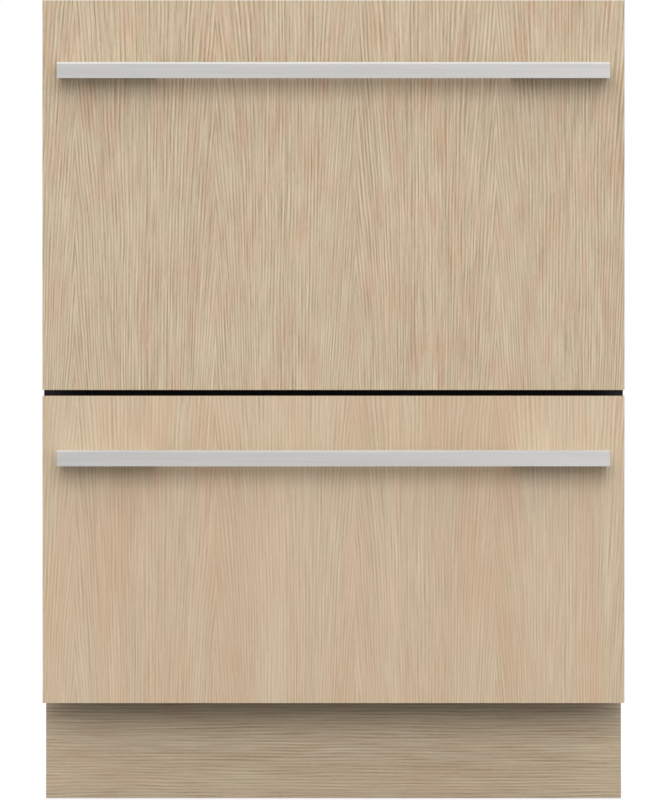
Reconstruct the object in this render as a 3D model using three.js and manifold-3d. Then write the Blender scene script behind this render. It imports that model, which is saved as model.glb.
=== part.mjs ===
// A built-in double drawer dishwasher with wooden fronts, 600 mm wide.
// Two drawers run out of one steel cabinet on telescopic slides. Each is a moulded tub behind a door, with
// its own spray arm, filter, racks, dispenser and keys, and a lid in the cabinet comes down on its rim.
// Millimetres, +Z up, the front faces -Y. The origin is on the floor, in the middle of the outline.
import * as THREE from "three";
import { mergeVertices } from "three/addons/utils/BufferGeometryUtils.js";
import Module from "manifold-3d";

const wasm = await Module();
wasm.setup();

// ---- Driving dimensions -------------------------------------------------------------------------------
const GAP = 0.3; // air between touching pieces
const CABINET = { half: 299.5, front: -200, back: 300, bottom: 100, top: 818, sheet: 1.2, flange: 10 };
const BACK_END = 305; // how far the pipe stubs reach behind the cabinet
const BACK_FIELDS = { half: 240, drawn: 3.2, slope: 1.5, fields: [[150, 400], [470, 770]] };
const PANEL = { half: 298, front: -267, back: -248, chamfer: 0.9 }; // the wooden fronts
const HANDLE = { half: 281.5, front: -305, bar: 10, height: 17, foot: 100, footHeight: 13, chamfer: 0.9 };
const DOOR = { half: 290, back: -203, wall: 2.6, inset: 6 }; // the housing behind each wooden front
const KICK = { half: 297.3, front: -207, thick: 16, bottom: 1, top: 99.5, chamfer: 0.8 };
const PAN = { half: 292, back: 296, bottom: 50, top: 130, sheet: 1.5, flange: 104, frontTop: 100 };
const FOOT = { x: 262, ys: [-150, 250], pad: 21, stem: 5.5, top: 118 };
const CENTRE_RAIL = { bottom: 413, top: 430, depth: 50, plate: 2.2, sheet: 2 };
const SLIDE = { front: -190, back: 280, outside: 286.6, depth: 12.7, steel: 1.5, below: 66 };
const TUB = { half: 264, front: -202.7, rear: 259, wall: 4, frontWall: 12.2, lip: 7, middle: 28 };
const SUMP = { radius: 75, wall: 4, depth: 32, segments: 14 };
const LID = { rise: 7.5, seal: 8, thick: 15.5, lugs: [-120, 180], lugHalf: 10.5 };
const KEYS = { power: -230, start: 230 }; // places of the keys along the door's top edge
const KEY = { length: 30, width: 9, y: -222, proud: 1.2, deep: 6, pocket: 8 };
const DISPENSER = { half: 76, height: 84, below: 28, plate: 5, margin: 4 };
const CUP = { from: -62, to: 8, height: 46, lift: 20, deep: 14 };
const RINSE = { x: 46, radius: 18, deep: 5.5 };
const ARM = { radius: 196, lift: 20, thick: 12, half: 24, tip: 14 };
const FILTER = { radius: 104, slots: 10, segments: 20 };
const RACK = { half: 238, front: -142, rear: 232, lift: 46, wire: 3.6, bend: 10, weld: 1.2 };
const RACK_FEET = [[-214, -126], [214, -126], [-214, 196], [214, 196]];
const TINES = { from: -212, to: 128, count: 9, height: 62, fixed: -72, folding: 20, axis: 11, room: 2.85 };
const CUP_RACK = { edge: -248, front: -150, rear: 215, posts: [-110, 118], hook: 1, rest: 20 };
const BASKET = { x: [156, 226], y: [-20, 190], wall: 2.5, cells: 4 };

// The two drawers are alike but for their depth.
const DRAWERS = {
  upper: {
    front: { bottom: 423, top: 822, handle: 748.2 },
    rim: 783,
    floor: 500,
    cups: { below: 95, width: 84 },
    rackHeight: 100,
    basketHeight: 140,
  },
  lower: {
    front: { bottom: 102.4, top: 417, handle: 353.2 },
    rim: 388,
    floor: 163,
    cups: { below: 76, width: 68 },
    rackHeight: 78,
    basketHeight: 104,
  },
};

// ---- Solids -------------------------------------------------------------------------------------------
function solidOf(geometry) {
  const bare = geometry.index ? geometry.toNonIndexed() : geometry.clone();
  for (const name of Object.keys(bare.attributes)) {
    if (name !== "position") bare.deleteAttribute(name);
  }
  const merged = mergeVertices(bare, 1e-4);
  return new wasm.Manifold(
    new wasm.Mesh({
      numProp: 3,
      vertProperties: new Float32Array(merged.attributes.position.array),
      triVerts: new Uint32Array(merged.index.array),
    }),
  );
}

function geometryOf(solid) {
  const mesh = solid.getMesh();
  const geometry = new THREE.BufferGeometry();
  geometry.setAttribute("position", new THREE.BufferAttribute(new Float32Array(mesh.vertProperties), 3));
  geometry.setIndex(new THREE.BufferAttribute(new Uint32Array(mesh.triVerts), 1));
  return geometry;
}

const joined = (solids) => solids.reduce((a, b) => a.add(b));
const without = (body, cutters) => body.subtract(joined(cutters));
const spread = (from, to, count) =>
  Array.from({ length: count }, (_, i) => from + ((to - from) * i) / (count - 1));
const about = (middle, half) => [middle - half, middle + half];
const onSide = (side, a, b) => [side * a, side * b].sort((p, q) => p - q);
const bothSides = (make) => [-1, 1].map(make);

function block([x0, x1], [y0, y1], [z0, z1]) {
  const box = new THREE.BoxGeometry(x1 - x0, y1 - y0, z1 - z0);
  return solidOf(box.translate((x0 + x1) / 2, (y0 + y1) / 2, (z0 + z1) / 2));
}

const pushed = (shape, depth, curveSegments) =>
  new THREE.ExtrudeGeometry(shape, { depth, bevelEnabled: false, curveSegments });

// A shape drawn in X and Z, pushed along Y.
function alongY(shape, [y0, y1], curve = 4) {
  return solidOf(pushed(shape, y1 - y0, curve).rotateX(Math.PI / 2).translate(0, y1, 0));
}

// A shape drawn in Y and Z, pushed along X.
function alongX(shape, [x0, x1], curve = 4) {
  const axes = [new THREE.Vector3(0, 1, 0), new THREE.Vector3(0, 0, 1), new THREE.Vector3(1, 0, 0)];
  const turn = new THREE.Matrix4().makeBasis(...axes);
  return solidOf(pushed(shape, x1 - x0, curve).applyMatrix4(turn).translate(x0, 0, 0));
}

// A shape drawn in X and Y, pushed along Z.
function alongZ(shape, [z0, z1], curve = 4) {
  return solidOf(pushed(shape, z1 - z0, curve).translate(0, 0, z0));
}

// A profile of [radius, height] points turned about an upright axis.
function turned(profile, x, y, segments) {
  const points = profile.map(([radius, height]) => new THREE.Vector2(radius, height));
  return solidOf(new THREE.LatheGeometry(points, segments).rotateX(Math.PI / 2).translate(x, y, 0));
}

const outline = (points) => new THREE.Shape(points.map(([a, b]) => new THREE.Vector2(a, b)));

function circle(x, z, radius) {
  const shape = new THREE.Shape();
  shape.absarc(x, z, radius, 0, Math.PI * 2);
  return shape;
}

const rod = (x, z, radius, span, curve = 5) => alongY(circle(x, z, radius), span, curve);

function roundedRectangle([x0, x1], [y0, y1], radius) {
  const shape = new THREE.Shape();
  shape.moveTo(x1 - radius, y0);
  shape.absarc(x1 - radius, y0 + radius, radius, -Math.PI / 2, 0);
  shape.absarc(x1 - radius, y1 - radius, radius, 0, Math.PI / 2);
  shape.absarc(x0 + radius, y1 - radius, radius, Math.PI / 2, Math.PI);
  shape.absarc(x0 + radius, y0 + radius, radius, Math.PI, Math.PI * 1.5);
  return shape;
}

// A board or bar with eased edges: a rectangle in X and Z with some depth along Y, chamfered all round.
function board([x0, x1], [y0, y1], [z0, z1], chamfer) {
  const face = outline([
    [x0 + chamfer, z0 + chamfer],
    [x1 - chamfer, z0 + chamfer],
    [x1 - chamfer, z1 - chamfer],
    [x0 + chamfer, z1 - chamfer],
  ]);
  const body = new THREE.ExtrudeGeometry(face, {
    depth: y1 - y0 - 2 * chamfer,
    bevelThickness: chamfer,
    bevelSize: chamfer,
    bevelSegments: 1,
  });
  return solidOf(body.rotateX(Math.PI / 2).translate(0, y1 - chamfer, 0));
}

// One level of a moulding: a rounded rectangle of points, anticlockwise seen from above.
function levelPoints({ half, front, rear, corner, z }) {
  const steps = 3;
  const middle = (front + rear) / 2;
  const reach = (rear - front) / 2;
  const quarters = [[1, 1], [-1, 1], [-1, -1], [1, -1]];
  return quarters.flatMap(([sx, sy], quarter) =>
    Array.from({ length: steps + 1 }, (_, i) => {
      const angle = ((quarter + i / steps) * Math.PI) / 2;
      const x = sx * (half - corner) + corner * Math.cos(angle);
      const y = middle + sy * (reach - corner) + corner * Math.sin(angle);
      return [x, y, z];
    }),
  );
}

// A moulding through several levels, from the lowest to the highest.
function lofted(levels) {
  const rings = levels.map(levelPoints);
  const count = rings[0].length;
  const centre = (points) => points.reduce((sum, p) => sum.map((v, k) => v + p[k] / count), [0, 0, 0]);
  const [base, top] = [rings[0], rings.at(-1)];
  const [baseCentre, topCentre] = [centre(base), centre(top)];
  const corners = [];
  for (let j = 0; j < count; j++) {
    const next = (j + 1) % count;
    for (let i = 0; i + 1 < rings.length; i++) {
      corners.push(rings[i][j], rings[i][next], rings[i + 1][next]);
      corners.push(rings[i][j], rings[i + 1][next], rings[i + 1][j]);
    }
    corners.push(baseCentre, base[next], base[j]);
    corners.push(topCentre, top[j], top[next]);
  }
  const geometry = new THREE.BufferGeometry();
  geometry.setAttribute("position", new THREE.Float32BufferAttribute(corners.flat(), 3));
  return solidOf(geometry);
}

// ---- Finishes -----------------------------------------------------------------------------------------
const finish = (color, roughness, metalness = 0) =>
  new THREE.MeshStandardMaterial({ color, roughness, metalness });
const OAK = finish(0xc5b399, 0.55);
const OAK_KICK = finish(0xb19d84, 0.55);
const ALUMINIUM = finish(0xc4c3c2, 0.32, 1);
const GALVANISED = finish(0xb4b7ba, 0.45, 0.9);
const BLACK_STEEL = finish(0x151515, 0.6, 0.3);
const BRIGHT_STEEL = finish(0xc9ccd0, 0.28, 1);
const TUB_PLASTIC = finish(0xd9dbdc, 0.42);
const DOOR_PLASTIC = finish(0x54585c, 0.5);
const LID_PLASTIC = finish(0xc9cccd, 0.45);
const RUBBER = finish(0x3c3e40, 0.8);
const WIRE_COAT = finish(0x9aa3ab, 0.4);
const BASKET_PLASTIC = finish(0x8f989f, 0.45);
const ARM_PLASTIC = finish(0x8b9298, 0.38);
const KEY_PLASTIC = finish(0xe4e5e6, 0.35);
const CAP_PLASTIC = finish(0x3f6fa0, 0.4);
const MOTOR_PLASTIC = finish(0x2a2c2f, 0.55);
const VALVE_PLASTIC = finish(0xe9e9e4, 0.5);

function add(group, name, solid, material) {
  const mesh = new THREE.Mesh(geometryOf(solid), material);
  mesh.name = name;
  group.add(mesh);
}

// ---- Cabinet ------------------------------------------------------------------------------------------
const insideWall = CABINET.half - CABINET.sheet;
const shellBack = CABINET.back - CABINET.sheet - GAP;
const slideHeight = (drawer) => drawer.rim - SLIDE.below;

// Spacers that hold a slide off the side wall, and upright tongues that the lugs of the lid run on.
function wallFittings(side, drawer) {
  const height = slideHeight(drawer);
  const toWall = insideWall + CABINET.sheet / 3;
  const spacers = [-150, 240].map((y) =>
    block(onSide(side, SLIDE.outside + GAP, toWall), about(y, 24), about(height, 9)));
  const tongues = LID.lugs.map((y) =>
    block(onSide(side, 285, toWall), about(y, 2.5), [drawer.rim + 4, drawer.rim + 26]));
  return [...spacers, ...tongues];
}

// One side of the cabinet, folded in at its front and back edge. Slots by the front take screws into the
// kitchen cabinet beside it.
function cabinetSide(side) {
  const { half, front, bottom, top, sheet, flange } = CABINET;
  const lip = half - flange;
  const section = [
    [half, front],
    [half, shellBack],
    [lip, shellBack],
    [lip, shellBack - sheet],
    [insideWall, shellBack - sheet],
    [insideWall, front + sheet],
    [lip, front + sheet],
    [lip, front],
  ];
  const folded = alongZ(outline(section.map(([x, y]) => [side * x, y])), [bottom, top - sheet - GAP]);
  const fittings = Object.values(DRAWERS).flatMap((drawer) => wallFittings(side, drawer));
  const slots = [200, 740].map((z) => block(onSide(side, half - 4, half + 4), [-178, -162], about(z, 3)));
  return without(joined([folded, ...fittings]), slots);
}

// The top sheet, folded down at its front and back edge, with slots for screws into the worktop.
function cabinetTop() {
  const { half, front, top, sheet, flange } = CABINET;
  const section = [
    [front, top - flange],
    [front + sheet, top - flange],
    [front + sheet, top - sheet],
    [shellBack - sheet, top - sheet],
    [shellBack - sheet, top - flange],
    [shellBack, top - flange],
    [shellBack, top],
    [front, top],
  ];
  const folded = alongX(outline(section), about(0, half - flange - GAP));
  const sheetMetal = block(about(0, half), [front, shellBack], [top - sheet, top]);
  const slots = [-200, 200].map((x) => block(about(x, 12), [-172, -166], about(top, 4)));
  return without(folded.add(sheetMetal), slots);
}

// The back sheet, with one deep-drawn field behind each drawer.
function rearPanel() {
  const { half, back, bottom, top, sheet } = CABINET;
  const { drawn, half: side, slope, fields } = BACK_FIELDS;
  const sheetMetal = block(about(0, half - 1), [back - sheet, back], [bottom + 1, top - 1]);
  const [crest, beyond] = [back - sheet - drawn, back + 2 * drawn];
  const pressed = fields.map((z) => board(about(0, side), [crest, beyond], z, slope));
  const behind = block(about(0, half), [back, beyond + sheet], [bottom, top]);
  const hollow = fields.map(([z0, z1]) =>
    board(about(0, side - sheet), [back - drawn, beyond], [z0 + sheet, z1 - sheet], slope));
  return without(joined([sheetMetal, ...pressed]), [behind, ...hollow]);
}

// The black rail between the drawers: a front plate on a channel that ties the sides together.
function centreRail() {
  const { bottom, top, depth, plate, sheet } = CENTRE_RAIL;
  const { front, flange, half } = CABINET;
  const face = block(about(0, half), [front - GAP - plate, front - GAP], [bottom, top]);
  const lapped = front - GAP - plate / 2;
  const section = [
    [lapped, bottom],
    [front + depth, bottom],
    [front + depth, top],
    [front + depth - sheet, top],
    [front + depth - sheet, bottom + sheet],
    [front + sheet, bottom + sheet],
    [front + sheet, top],
    [lapped, top],
  ];
  return face.add(alongX(outline(section), about(0, half - flange - GAP)));
}

const kickPanel = () =>
  board(about(0, KICK.half), [KICK.front, KICK.front + KICK.thick], [KICK.bottom, KICK.top], KICK.chamfer);

// ---- Base ---------------------------------------------------------------------------------------------
const PIPE_HEIGHT = 76;
const VALVE = { x: -225, radius: 13, flange: 17 };
const DRAIN = { x: -160, radius: 10.5, bore: 8 };
const CABLE_GLAND = { x: 220, radius: 9, bore: 5 };
const panInside = PAN.back - PAN.sheet;

const feetPlaces = FOOT.ys.flatMap((y, row) =>
  bothSides((side) => {
    const name = `foot_${row ? "rear" : "front"}_${side < 0 ? "left" : "right"}`;
    return { name, x: side * FOOT.x, y };
  }));

// A tray of folded steel under the cabinet, low in front so that the lower drawer runs out over it.
function basePan() {
  const { half, back, bottom, top, sheet, flange, frontTop } = PAN;
  const front = KICK.front + KICK.thick + GAP;
  const tray = block(about(0, half), [front, back], [bottom, top]);
  const hollow = block(about(0, half - sheet), [front + sheet, back - sheet], [bottom + sheet, top + 1]);
  const doorway = block(about(0, half - 30), [front - 1, front + sheet + 1], [frontTop, top + 1]);
  const flanges = bothSides((side) =>
    block(onSide(side, half - sheet, insideWall - GAP), [front + 6, back - 6], [flange, flange + sheet]));
  const ribs = [-60, 120].map((y) => block(about(0, half - 1), about(y, 1), [bottom + 1, bottom + 14]));
  const thread = FOOT.stem + 1.1;
  const sockets = feetPlaces.map(({ x, y }) =>
    turned([[0, bottom], [13, bottom], [11, FOOT.top - 6], [0, FOOT.top - 6]], x, y, 8));
  const threads = feetPlaces.map(({ x, y }) =>
    turned([[0, bottom - 2], [thread, bottom - 2], [thread, FOOT.top], [0, FOOT.top]], x, y, 8));
  const pipes = [DRAIN, CABLE_GLAND];
  const stubs = pipes.map(({ x, radius }) => rod(x, PIPE_HEIGHT, radius, [panInside - 12, BACK_END]));
  const bores = pipes.map(({ x, bore }) => rod(x, PIPE_HEIGHT, bore, [panInside - 14, BACK_END + 1]));
  const valveHole = rod(VALVE.x, PIPE_HEIGHT, VALVE.radius + 2 * GAP, about(back, 4));
  const shell = joined([without(tray, [hollow, doorway]), ...flanges, ...ribs, ...sockets, ...stubs]);
  return without(shell, [...threads, ...bores, valveHole]);
}

// The water inlet: a threaded nose through the back of the base, its flange, body and coil.
function inletValve() {
  const { x, radius, flange } = VALVE;
  const body = joined([
    rod(x, PIPE_HEIGHT, radius, [panInside - 30, BACK_END]),
    rod(x, PIPE_HEIGHT, flange, [panInside - 6, panInside - GAP]),
    block(about(x, 12), [panInside - 44, panInside - 22], about(PIPE_HEIGHT, 14)),
    turned([[0, 84], [10, 84], [10, 106], [0, 106]], x, panInside - 33, 10),
  ]);
  return body.subtract(rod(x, PIPE_HEIGHT, radius - 3, [panInside - 12, BACK_END + 1]));
}

// An adjustable foot: a round pad, a hexagon to turn it by and a threaded stem.
function foot(x, y) {
  const { pad, stem, top } = FOOT;
  const profile = [
    [0, 0],
    [pad - 1.5, 0],
    [pad, 2],
    [pad, 6],
    [11, 12],
    [11, 20],
    [stem, 20],
    [stem, top],
    [0, top],
  ];
  return turned(profile, x, y, 9);
}

// ---- Slides -------------------------------------------------------------------------------------------
// Each slide has three steel channels, one in the other, with the ball tracks between them.
const CHANNELS = {
  outer: { web: SLIDE.outside, lips: SLIDE.outside - 11.6, half: 23 },
  middle: { web: SLIDE.outside - 3, lips: SLIDE.outside - 11.1, half: 19 },
  inner: { web: SLIDE.outside - SLIDE.depth - GAP, lips: SLIDE.outside - 6.1, half: 15 },
};

function slideChannel(side, { web, lips, half }, height) {
  const { steel, front, back } = SLIDE;
  const inner = web + Math.sign(lips - web) * steel;
  const section = [
    [web, -half],
    [lips, -half],
    [lips, -half + steel],
    [inner, -half + steel],
    [inner, half - steel],
    [lips, half - steel],
    [lips, half],
    [web, half],
  ];
  return alongY(outline(section.map(([x, z]) => [side * x, height + z])), [front, back]);
}

// ---- Lid ----------------------------------------------------------------------------------------------
// A level of the lid, some way in from its edge.
function lidLevel(margin, z) {
  const half = TUB.half + TUB.lip;
  return {
    half: half - margin,
    front: TUB.front + 1.5 + margin,
    rear: TUB.rear + TUB.lip - margin,
    corner: 46 - margin / 2,
    z,
  };
}

function lid(rim) {
  const under = rim + LID.rise;
  const shoulder = under + LID.seal;
  const top = under + LID.thick;
  const plug = lofted([lidLevel(20, under + 1), lidLevel(14, under + 3), lidLevel(14, shoulder + 1)]);
  const cover = lofted([lidLevel(1, shoulder), lidLevel(0, shoulder + 2), lidLevel(1.5, top)]);
  const tray = lofted([lidLevel(26, under + 5), lidLevel(22, top + 1)]);
  const ribHeight = [under + 4, top - 2];
  const ribs = [-60, 60, 160].map((y) => block(about(0, 244), about(y, 1.5), ribHeight));
  const lugHeight = [shoulder + 1, shoulder + 6];
  const lugs = LID.lugs.flatMap((y) => bothSides((side) => forkedLug(side, y, lugHeight)));
  return joined([without(plug.add(cover), [tray]), ...ribs, ...lugs]);
}

// A lug with a notch that runs up and down on a tongue of the cabinet wall.
function forkedLug(side, y, heights) {
  const { lugHalf } = LID;
  const [root, notch, end, slot] = [266, 283.5, 292, 4];
  const points = [
    [root, -lugHalf],
    [end, -lugHalf],
    [end, -slot],
    [notch, -slot],
    [notch, slot],
    [end, slot],
    [end, lugHalf],
    [root, lugHalf],
  ];
  return alongZ(outline(points.map(([x, dy]) => [side * x, y + dy])), heights);
}

// The rubber gasket round the lid, which meets the tub's rim.
function lidSeal(rim) {
  const under = rim + LID.rise;
  const top = under + LID.seal - GAP;
  const outer = lofted([lidLevel(4, under), lidLevel(2, under + 2.5), lidLevel(3.5, top)]);
  const inner = lofted([lidLevel(9.5, under - 1), lidLevel(12, under + 3), lidLevel(13, top + 1)]);
  return outer.subtract(inner);
}

// ---- Door ---------------------------------------------------------------------------------------------
const woodenFront = ({ bottom, top }) =>
  board(about(0, PANEL.half), [PANEL.front, PANEL.back], [bottom, top], PANEL.chamfer);

// A flat bar on a wide foot at each end.
function barHandle(z) {
  const { half, front, bar, height, foot: footLength, footHeight, chamfer } = HANDLE;
  const face = board(about(0, half), [front, front + bar], about(z, height / 2), chamfer);
  const feet = bothSides((side) =>
    block(
      onSide(side, half - footLength, half - chamfer),
      [front + bar - chamfer, PANEL.front - GAP],
      about(z, footHeight / 2),
    ));
  return joined([face, ...feet]);
}

const keyShape = (x, margin) =>
  roundedRectangle(
    about(x, KEY.length / 2 + margin),
    about(KEY.y, KEY.width / 2 + margin),
    KEY.width / 2 - 1 + margin,
  );

function doorHousing({ bottom, top }) {
  const { half, back, wall, inset } = DOOR;
  const [low, high] = [bottom + inset, top - inset];
  const front = PANEL.back + GAP;
  const places = Object.values(KEYS);
  const shell = board(about(0, half), [front, back], [low, high], 2);
  const hollow = block(about(0, half - wall), [front + wall, back - wall], [low + wall, high - wall]);
  const carriers = places.map((x) =>
    block(about(x, KEY.length / 2 + 4), about(KEY.y, 9), [high - 11, high - 1]));
  const pockets = places.map((x) => alongZ(keyShape(x, 0.4), [high - KEY.pocket, high + 1], 1));
  const vents = spread(-120, 120, 3).map((x) => block(about(x, 16), [-240, -232], about(low, wall + 1)));
  return without(joined([shell.subtract(hollow), ...carriers]), [...pockets, ...vents]);
}

const key = (x, housingTop) => alongZ(keyShape(x, 0), [housingTop - KEY.deep, housingTop + KEY.proud], 1);

// ---- Tub ----------------------------------------------------------------------------------------------
const tubInside = TUB.front + TUB.frontWall;

// The outside of the moulding and its cavity, from the flat round the sump to the rim.
function tubForm({ rim, floor }) {
  const { half, front, rear, wall, middle } = TUB;
  const sumpFlat = { half: 112, front: middle - 112, rear: middle + 112, corner: 78 };
  const outside = lofted([
    { ...sumpFlat, z: floor - wall },
    { half: 236, front: -180, rear: 232, corner: 36, z: floor + 10 },
    { half: 252, front: -196, rear: 248, corner: 40, z: floor + 22 },
    { half: 258.5, front: -201, rear: 253.5, corner: 42, z: floor + 40 },
    { half, front, rear, corner: 42, z: rim },
  ]);
  const cavity = lofted([
    { ...sumpFlat, z: floor },
    { half: 232, front: -174, rear: 228, corner: 34, z: floor + 14 },
    { half: 247, front: -186, rear: 243, corner: 38, z: floor + 25 },
    { half: 254, front: tubInside + 1.5, rear: 249, corner: 38, z: floor + 42 },
    { half: half - wall, front: tubInside, rear: rear - wall, corner: 38, z: rim + 0.5 },
  ]);
  return { outside, cavity };
}

function rimFlange(rim) {
  const { half, front, rear, lip } = TUB;
  return lofted([
    { half: half + 1, front, rear: rear + 1, corner: 43, z: rim - 9 },
    { half: half + lip, front, rear: rear + lip, corner: 46, z: rim - 5 },
    { half: half + lip, front, rear: rear + lip, corner: 46, z: rim },
  ]);
}

// Ribs down the sides and back, and blocks that the inner slides are screwed to.
function tubRibs({ rim, floor }) {
  const heights = [floor + 50, rim - 6];
  const sides = [-60, 120].flatMap((y) =>
    bothSides((side) => block(onSide(side, 250, 267), about(y, 1.5), heights)));
  const rear = [-120, 0, 120].map((x) => block(about(x, 1.5), [245, 262], heights));
  const slideBlocks = [-150, 30, 210].flatMap((y) =>
    bothSides((side) =>
      block(onSide(side, 250, CHANNELS.inner.web - GAP), about(y, 16), about(slideHeight({ rim }), 10))));
  return [...sides, ...rear, ...slideBlocks];
}

function sumpPot(floor) {
  const { radius, wall, depth } = SUMP;
  const profile = [
    [0, floor - depth - wall],
    [radius - 6, floor - depth - wall],
    [radius + wall, floor - depth + 4],
    [radius + wall, floor - 1],
    [0, floor - 1],
  ];
  return turned(profile, 0, TUB.middle, SUMP.segments);
}

function sumpWell(floor) {
  const { radius, depth } = SUMP;
  const profile = [
    [0, floor - depth],
    [radius - 8, floor - depth],
    [radius, floor - depth + 7],
    [radius, floor + 1],
    [0, floor + 1],
  ];
  return turned(profile, 0, TUB.middle, SUMP.segments);
}

function tub(drawer) {
  const { rim, floor } = drawer;
  const { outside, cavity } = tubForm(drawer);
  const top = rim - DISPENSER.below;
  const heights = [top - DISPENSER.height, top];
  const window = block(about(0, DISPENSER.half), [TUB.front - 1, tubInside + 3], heights);
  const rackPads = RACK_FEET.map(([x, y]) => block(about(x, 11), about(y, 11), [floor + 12, floor + 32]));
  const hull = joined([outside, rimFlange(rim), ...tubRibs(drawer), sumpPot(floor)]);
  return joined([without(hull, [cavity, sumpWell(floor), window]), ...rackPads]);
}

// The flat motor under the sump, which turns the wash pump, with its drain outlet.
function washMotor(floor) {
  const top = floor - SUMP.depth - SUMP.wall - GAP;
  const profile = [
    [0, top - 19],
    [40, top - 19],
    [44, top - 14],
    [62, top - 14],
    [66, top - 10],
    [66, top - 2],
    [60, top],
    [0, top],
  ];
  const outlet = block(about(0, 12), [TUB.middle + 60, TUB.middle + 92], [top - 14, top - 2]);
  return joined([turned(profile, 0, TUB.middle, SUMP.segments), outlet]);
}

// A slotted plate over the sump with a raised collar that the spray arm turns in.
function filterPlate(floor) {
  const base = floor + GAP;
  const onMiddle = (profile, segments) => turned(profile, 0, TUB.middle, segments);
  const profile = [
    [0, base],
    [FILTER.radius, base],
    [FILTER.radius, base + 2.5],
    [42, base + 4.5],
    [28, base + 17],
    [0, base + 17],
  ];
  const plate = onMiddle(profile, FILTER.segments);
  const collar = onMiddle([[0, base - 1], [12.6, base - 1], [12.6, base + 20], [0, base + 20]], 12);
  const underside = onMiddle([[0, base - 1], [30, base - 1], [23, base + 13], [0, base + 13]], 12);
  const slots = Array.from({ length: FILTER.slots }, (_, i) => {
    const slot = new THREE.BoxGeometry(40, 6, 20).translate(72, 0, base);
    return solidOf(slot.rotateZ((i * Math.PI * 2) / FILTER.slots).translate(0, TUB.middle, 0));
  });
  return without(plate, [collar, underside, ...slots]);
}

// One half of the arm's outline, from the waist round the tip and back; side -1 gives the other half.
function armHalf(shape, side) {
  const { radius, half, tip } = ARM;
  const tipCentre = radius - tip;
  const shoulder = tip * 1.2;
  shape.bezierCurveTo(side * 60, -side * half, side * 120, -side * shoulder, side * tipCentre, -side * tip);
  const start = side > 0 ? -Math.PI / 2 : Math.PI / 2;
  shape.absarc(side * tipCentre, 0, tip, start, start + Math.PI);
  shape.bezierCurveTo(side * 120, side * shoulder, side * 60, side * half, 0, side * half);
}

function sprayArm(floor) {
  const low = floor + ARM.lift;
  const bevel = 3;
  const blade = new THREE.Shape();
  blade.moveTo(0, -ARM.half);
  armHalf(blade, 1);
  armHalf(blade, -1);
  const body = new THREE.ExtrudeGeometry(blade, {
    depth: ARM.thick - 2 * bevel,
    bevelThickness: bevel,
    bevelSize: bevel,
    bevelOffset: -bevel,
    bevelSegments: 1,
    curveSegments: 3,
  });
  const profile = [
    [0, low - 8],
    [11.6, low - 8],
    [11.6, low - 1],
    [30, low - 1],
    [30, low + 13],
    [20, low + 17],
    [0, low + 17],
  ];
  const hub = turned(profile, 0, TUB.middle, 14);
  const jets = [[80, 8], [150, -5]].flatMap(([x, y]) =>
    bothSides((turn) => block(about(turn * x, 4), about(TUB.middle + turn * y, 1.4), [low + 7, low + 20])));
  return without(solidOf(body.translate(0, TUB.middle, low + bevel)).add(hub), jets);
}

// ---- Racks --------------------------------------------------------------------------------------------
// A wire laid across the rack and turned up at both ends, drawn as [along, up].
function bentWire([from, to], low, high) {
  const { wire, bend } = RACK;
  const inner = bend + wire * 0.4;
  return outline([
    [from, high],
    [from, low + bend],
    [from + bend, low],
    [to - bend, low],
    [to, low + bend],
    [to, high],
    [to - wire, high],
    [to - wire, low + inner],
    [to - inner, low + wire],
    [from + inner, low + wire],
    [from + wire, low + inner],
    [from + wire, high],
  ]);
}

// The wire round the top of the rack, lying on the ends of the others.
function rackRim(high) {
  const { half, front, rear, wire } = RACK;
  const proud = 0.6;
  const inner = wire + proud;
  const loop = roundedRectangle(about(0, half + proud), [front - proud, rear + proud], 16);
  loop.holes.push(roundedRectangle(about(0, half - inner), [front + inner, rear - inner], 12));
  return alongZ(loop, [high - 1, high + wire - 1], 1);
}

const tineRow = (y, foot, height) =>
  spread(TINES.from, TINES.to, TINES.count).map((x) =>
    block(about(x, RACK.wire / 2), about(y, RACK.wire / 2), [foot, foot + height]));

const rackFloor = (floor) => floor + RACK.lift;
const longWireTop = (floor) => rackFloor(floor) + 2 * RACK.wire - RACK.weld;
const foldAxis = (floor) => rackFloor(floor) + TINES.axis;

// Saddles on the long wires, in which the spindle of the folding tines turns.
function tineSaddles(floor) {
  const axis = foldAxis(floor);
  const y = TINES.folding;
  const [low, seat] = [rackFloor(floor) + RACK.wire, axis - TINES.room];
  const points = [
    [y - 6, low],
    [y + 6, low],
    [y + 6, axis],
    [y + 3.4, axis],
    [y + 3.4, seat],
    [y - 3.4, seat],
    [y - 3.4, axis],
    [y - 6, axis],
  ];
  return [-104, 104].map((x) => alongX(outline(points), about(x, 4)));
}

// A post from the rack's rim that the cup rack hangs in and leans on.
function cupRackPost(y, from, { rail, edge }) {
  const { wire, half } = RACK;
  const { hook, rest } = CUP_RACK;
  const arm = -half + rest;
  const points = [
    [-half, from],
    [-half + wire, from],
    [-half + wire, rail - wire],
    [arm, rail - wire],
    [arm, rail + GAP / 3],
    [-half, rail + GAP / 3],
    [-half, rail - hook],
    [edge - hook, rail - hook],
    [edge - hook, rail + wire],
    [edge - 3 * hook, rail + wire],
    [edge - 3 * hook, rail - wire - hook],
    [-half, rail - wire - hook],
  ];
  return alongY(outline(points), about(y, wire / 2));
}

const cupRackRail = ({ rim, cups }) => ({ rail: rim - cups.below, edge: CUP_RACK.edge });

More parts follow.
